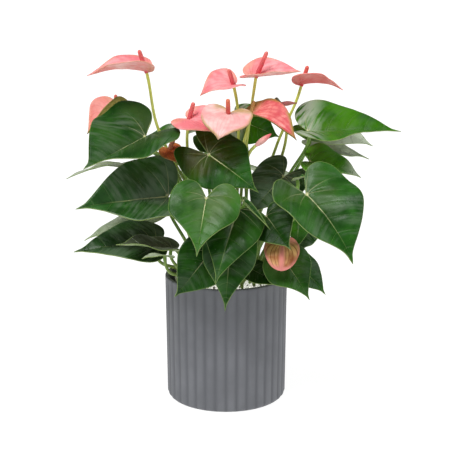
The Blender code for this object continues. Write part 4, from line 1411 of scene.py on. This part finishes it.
# %% Leaves between the others and at the back
INNER_LEAVES = (
    Leaf("leaf_27", "deep", (-0.023, -0.008, 0.291), (-0.004, -0.024, 0.272), (0.0, -0.7, 0.7), 0.028,
         root=(0.014, 200), fold=0.15, arch=0.04),
    Leaf("leaf_28", "fresh", (-0.062, 0.066, 0.288), (-0.105, 0.082, 0.270), (0.0, -0.3, 1.0), 0.046,
         root=(0.026, 138), fold=0.15, arch=0.04, via=(-0.048, 0.036, 0.248)),
    Leaf("leaf_29", "young", (0.0175, -0.077, 0.2375), (0.045, -0.096, 0.212), (0.3, -0.7, 0.7), 0.007,
         root=(0.037, -78), fold=0.90, arch=0.02, lobe=0.3, via=(0.008, -0.056, 0.222)),
)
BACK_LEAVES = (
    Leaf("leaf_30", "mid", (0.052, 0.084, 0.236), (0.103, 0.136, 0.198), (0.2, 0.2, 1.0), 0.094,
         root=(0.037, 52), fold=0.25, arch=0.06),
    Leaf("leaf_31", "deep", (0.000, 0.080, 0.290), (0.010, 0.145, 0.250), (0.0, 0.3, 1.0), 0.094,
         root=(0.037, 88), fold=0.25, arch=0.06),
    Leaf("leaf_32", "mid", (-0.055, 0.075, 0.235), (-0.110, 0.122, 0.198), (-0.2, 0.3, 1.0), 0.094,
         root=(0.037, 128), fold=0.25, arch=0.06),
    Leaf("leaf_33", "deep", (-0.002, 0.070, 0.188), (0.000, 0.128, 0.140), (0.0, 0.6, 0.8), 0.074,
         root=(0.047, 80), fold=0.25, arch=0.06),
)
LEAVES = LEFT_LEAVES + FRONT_LEAVES + RIGHT_LEAVES + INNER_LEAVES + BACK_LEAVES
print("leaves:", len(LEAVES))

# %% [markdown]
# ## Leaves
#
# Now each leaf of the list is made: its blade with three finishes, for the upper side, the under side
# and the margin, and its petiole. A ripple of another height for each leaf keeps them from looking
# cast from one mould. The furled young leaf shows its deep green from both sides.

# %% Leaves
LEAF_ROWS = 22
LEAF_CURL = 0.45        # how strongly the two halves curl down again
BLADE_THICK = 0.0008
LEAF_WAVE = 0.10        # the highest ripple, as a share of the way out from the midrib
PETIOLE_SWELLING = 0.22
PETIOLE_END = (0.0018, 0.0002)      # how far past the joint along the blade, and above it
LEAF_TURN = 2.4         # radians, about the turn from one leaf to the next round a stem

for number, spec in enumerate(LEAVES, 1):
    wave = LEAF_WAVE * math.sin(LEAF_TURN * number)
    sheet = blade_mesh(spec.name + "_blade", spec, LEAF_OUTLINE, LEAF_ROWS, LEAF_CURL, wave, leaf_swell)
    under = LEAF_UPPER["young"] if spec.tone == "young" else LEAF_UNDER
    blade = piece(spec.name + "_blade", sheet, spec.name, "leaf",
                  LEAF_UPPER[spec.tone], under, LEAF_MARGIN)
    give_thickness(blade, BLADE_THICK)
    _, along, up = blade_axes(Vector(spec.junction), Vector(spec.tip), Vector(spec.face))
    lean = (up + UP).normalized()
    end = Vector(spec.junction) + PETIOLE_END[0] * along + PETIOLE_END[1] * up
    way = stem_way(spec.root, end, lean, spec.via)
    rod = stem_mesh(spec.name + "_petiole", way, PETIOLE_RADII, PETIOLE_SWELLING)
    piece(spec.name + "_petiole", rod, spec.name, "leaf", PETIOLE)
print("leaves made:", len(LEAVES))

# %% [markdown]
# ## Spike
#
# The spadix is a tapering spike packed with tiny flowers. Modelling hundreds of flowers one by one
# would cost too much, so the spike's skin is swollen by two crossing waves, one round it and one up
# it, which is what the eye reads as flowers.

# %% Spike
SPADIX_RADIUS = 0.0027
SPIKE_AROUND = 48
SPIKE_ROWS = 72
FLOWERS_AROUND = 12
FLOWERS_UP = 17
FLOWERS_FADE = 6        # how soon they shrink towards the tip
BLUNT_FROM = 0.90       # share of the spadix's length from which its tip is rounded off


def spike_mesh(name, foot, top, radius_at, flower_height):
    """A round spike from foot to top, its radius given by its share of the way up."""
    axis = (top - foot).normalized()
    first = axis.orthogonal().normalized()
    second = axis.cross(first)
    shape = bmesh.new()
    rise = shape.verts.layers.float.new("rise")
    bmesh.ops.create_grid(shape, x_segments=SPIKE_AROUND, y_segments=SPIKE_ROWS, size=0.5)
    for vertex in shape.verts:
        turn = vertex.co.x + 0.5
        share = vertex.co.y + 0.5
        waves = math.cos(math.tau * FLOWERS_AROUND * turn) * math.cos(math.pi * FLOWERS_UP * share)
        radius = radius_at(share)
        if 0.0 < share < 1.0:
            radius += flower_height * waves * min(1.0, FLOWERS_FADE * (1.0 - share))
        angle = math.tau * turn
        vertex[rise] = share
        vertex.co = foot.lerp(top, share) + radius * (math.cos(angle) * first + math.sin(angle) * second)
    bmesh.ops.remove_doubles(shape, verts=shape.verts, dist=MERGE_SAME)
    bmesh.ops.holes_fill(shape, edges=shape.edges, sides=0)
    bmesh.ops.recalc_face_normals(shape, faces=shape.faces)
    return mesh_from(shape, name)


def spadix_radius(share):
    """The spadix widens from its foot and ends in a blunt round tip."""
    body = 0.80 + 0.20 * math.sin(math.pi * min(1.0, share * 1.6) / 2) - 0.22 * share
    into_tip = max(0.0, (share - BLUNT_FROM) / (1.0 - BLUNT_FROM))
    return SPADIX_RADIUS * body * math.sqrt(max(0.0, 1.0 - into_tip ** 2))


print("tiny flowers on a spadix, about:", FLOWERS_AROUND * FLOWERS_UP)

# %% [markdown]
# ## The list of blooms
#
# A bloom is described in the same way, because the coloured sheet behind the spike is a leaf too. Its
# row also says where the spike's tip is. A bloom could hang on its stalk as a child object instead,
# but with places given in the plant's own space each row can be read off the photograph.

# %% The blooms
Bloom = namedtuple("Bloom", "name tone junction tip face width spadix_tip root fold arch lobe via",
                   defaults=(0.20, 0.05, 1.0, None))
BLOOMS = (
    Bloom("bloom_01", "pink", (-0.083, 0.010, 0.360), (-0.148, 0.000, 0.357), (0.0, -0.05, 1.0), 0.050,
          spadix_tip=(-0.093, 0.008, 0.384), root=(0.014, 165), fold=0.55, arch=0.08, lobe=0.4,
          via=(-0.075, 0.018, 0.300)),
    Bloom("bloom_02", "olive", (-0.117, 0.042, 0.302), (-0.152, 0.017, 0.292), (0.0, 0.1, 1.0), 0.040,
          spadix_tip=(-0.122, 0.037, 0.333), root=(0.026, 160), fold=1.50, via=(-0.060, 0.040, 0.252)),
    Bloom("bloom_03", "pink", (-0.041, -0.020, 0.314), (-0.008, -0.045, 0.303), (0.0, -0.5, 0.9), 0.046,
          spadix_tip=(-0.034, -0.024, 0.332), root=(0.026, 204), fold=0.25, via=(-0.041, -0.010, 0.275)),
    Bloom("bloom_04", "pale", (0.003, -0.035, 0.322), (-0.008, -0.075, 0.301), (0.0, -0.6, 0.8), 0.052,
          spadix_tip=(0.002, -0.045, 0.338), root=(0.014, -120), via=(-0.003, -0.006, 0.285)),
    Bloom("bloom_05", "coral", (0.0245, -0.002, 0.3145), (0.0735, -0.048, 0.2950), (0.1, -0.42, 1.0),
          0.044, spadix_tip=(0.030, 0.010, 0.329), root=(0.014, -50), fold=0.60, arch=0.12, lobe=0.8,
          via=(0.014, -0.008, 0.262)),
    Bloom("bloom_06", "pink", (0.010, 0.014, 0.346), (-0.028, -0.002, 0.336), (0.0, -0.4, 1.0), 0.044,
          spadix_tip=(0.003, 0.011, 0.363), root=(0.014, 90), fold=0.50, arch=0.08, lobe=0.7),
    Bloom("bloom_07", "pink", (0.030, 0.016, 0.354), (0.080, 0.006, 0.361), (0.0, -0.3, 1.0), 0.044,
          spadix_tip=(0.044, 0.012, 0.382), root=(0.014, 40), fold=0.60, arch=0.0, lobe=1.2),
    Bloom("bloom_08", "aging", (0.0615, 0.018, 0.3227), (0.0490, 0.042, 0.3207), (0.2, -0.5, 0.8), 0.038,
          spadix_tip=(0.0535, 0.014, 0.3317), root=(0.026, 36), fold=0.10),
    Bloom("bloom_09", "rose", (0.082, 0.064, 0.340), (0.130, 0.052, 0.336), (0.0, 0.20, 1.0), 0.046,
          spadix_tip=(0.091, 0.062, 0.362), root=(0.026, 60), fold=0.48, arch=0.10, lobe=0.7,
          via=(0.056, 0.058, 0.270)),
    Bloom("bloom_10", "striped", (0.0585, -0.066, 0.191), (0.057, -0.080, 0.163), (0.0, -0.9, 0.4), 0.034,
          spadix_tip=(0.055, -0.064, 0.206), root=(0.047, -54), fold=-0.30, arch=0.34,
          via=(0.046, -0.034, 0.162)),
    Bloom("bloom_11", "brown", (-0.062, -0.006, 0.280), (-0.048, -0.024, 0.266), (0.0, -0.6, 0.8), 0.024,
          spadix_tip=(-0.055, -0.012, 0.294), root=(0.026, 182), fold=0.10, via=(-0.041, 0.000, 0.250)),
)
print("blooms:", len(BLOOMS))

# %% [markdown]
# ## Blooms
#
# Now each bloom is made: its spathe, a blade with its own finishes, its spadix and its stalk. The stalk
# leans half towards the spadix and half towards the spathe's upper side, because the real one carries
# straight on into the spike while the spathe is bent back from it.

# %% Blooms
SPATHE_ROWS = 20
SPATHE_CURL = 0.15
SPATHE_THICK = 0.0009
SPATHE_WAVE = 0.04
FLOWER_HEIGHT = 0.00013
SPADIX_INSET = 0.0023       # how far along the spathe the spike stands from the joint
SPIKE_SINKS = 0.0006
STALK_SINKS = 0.0004
STALK_SWELLING = 0.15

for spec in BLOOMS:
    # The striped bloom is the one that is blown up into a dome
    outline = DOME_OUTLINE if spec.tone == "striped" else SPATHE_OUTLINE
    sheet = blade_mesh(spec.name + "_spathe", spec, outline, SPATHE_ROWS, SPATHE_CURL, SPATHE_WAVE,
                       spathe_swell)
    spathe = piece(spec.name + "_spathe", sheet, spec.name + "_head", "bloom", SPATHE_UPPER[spec.tone],
                   SPATHE_UNDER[spec.tone], SPATHE_UNDER[spec.tone])
    give_thickness(spathe, SPATHE_THICK)
    junction = Vector(spec.junction)
    spadix_tip = Vector(spec.spadix_tip)
    _, along, up = blade_axes(junction, Vector(spec.tip), Vector(spec.face))
    lean = ((spadix_tip - junction).normalized() + up).normalized()
    base = junction + SPADIX_INSET * along
    foot = base - SPIKE_SINKS * lean
    spike = spike_mesh(spec.name + "_spadix", foot, spadix_tip, spadix_radius, FLOWER_HEIGHT)
    piece(spec.name + "_spadix", spike, spec.name + "_head", "bloom", SPADIX[spec.tone])
    way = stem_way(spec.root, base - STALK_SINKS * lean, lean, spec.via)
    rod = stem_mesh(spec.name + "_stem", way, STALK_RADII, STALK_SWELLING)
    piece(spec.name + "_stem", rod, spec.name + "_stalk", "stalk", STALK)
print("blooms made:", len(BLOOMS))

# %% [markdown]
# ## Bud
#
# The youngest bloom is still furled: its spathe is rolled tightly round the spike into a slim bud that
# runs out to a point. A rolled sheet would need many faces for an edge that hardly shows, so a spike
# with a smooth skin stands for it. Its finish is the spadix's, in the pinks of a young spathe.

# %% Bud
BUD_JUNCTION = (0.0315, -0.046, 0.290)
BUD_TIP = (0.047, -0.052, 0.303)
BUD_RADIUS = 0.0036
BUD_ROOT = (0.026, -56)
BUD_VIA = (0.021, -0.058, 0.226)
BUD_SKIN = spadix_finish("bud_pink", tint(252, 190, 182), tint(238, 88, 102))
BUD_STEM_INSET = 0.0008
BUD_SWELLING = 0.1


def bud_radius(share):
    """The furled spathe is widest a little below its middle and runs out to a point."""
    widening = 0.5 + 0.5 * math.sin(math.pi * min(1.0, share * 1.9) / 2)
    return BUD_RADIUS * widening * (1.0 - share ** 2.2) ** 0.7


bud_foot = Vector(BUD_JUNCTION)
bud_tip = Vector(BUD_TIP)
bud_lean = (bud_tip - bud_foot).normalized()
furled = spike_mesh("bud_spathe", bud_foot, bud_tip, bud_radius, 0.0)
piece("bud_spathe", furled, "bud_head", "bloom", BUD_SKIN)
bud_way = stem_way(BUD_ROOT, bud_foot + BUD_STEM_INSET * bud_lean, bud_lean, BUD_VIA)
bud_rod = stem_mesh("bud_stem", bud_way, STALK_RADII, BUD_SWELLING)
piece("bud_stem", bud_rod, "bud_stalk", "stalk", STALK)
print("pieces in all:", len(pieces))

# %% [markdown]
# ## White floor
#
# Last comes the floor's own finish. A white floor that only reflects would be white where the suns
# reach it and grey in the plant's shadow. This one is a mid grey that glows nearly up to white by
# itself: glow and sunlight together come out as plain white, and where the plant takes the sun away
# only a pale shadow is left. Its clouds are too faint to notice.

# %% Floor finish
FLOOR_GLOW = 0.90
FLOOR_GREYS = (tint(128, 128, 128), tint(132, 132, 132))

floor_finish = Finish("white_floor", roughness=0.9, Emission_Color=WHITE, Emission_Strength=FLOOR_GLOW)
floor_finish.set("Base Color", floor_finish.mix(floor_finish.noise(3.0), *FLOOR_GREYS))
floor_mesh.materials.append(floor_finish.material)
print("floor:", floor_finish.material.name)

# %% [markdown] ## Sizes The boxes of the plain model and of the dressed plant, side by side.

# %% Sizes
dressed_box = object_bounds()
for name, box in (("plain", plain_box), ("dressed", dressed_box)):
    print(name, "box:", [round(1000 * (high - low), 1) for low, high in zip(*box)], "mm")
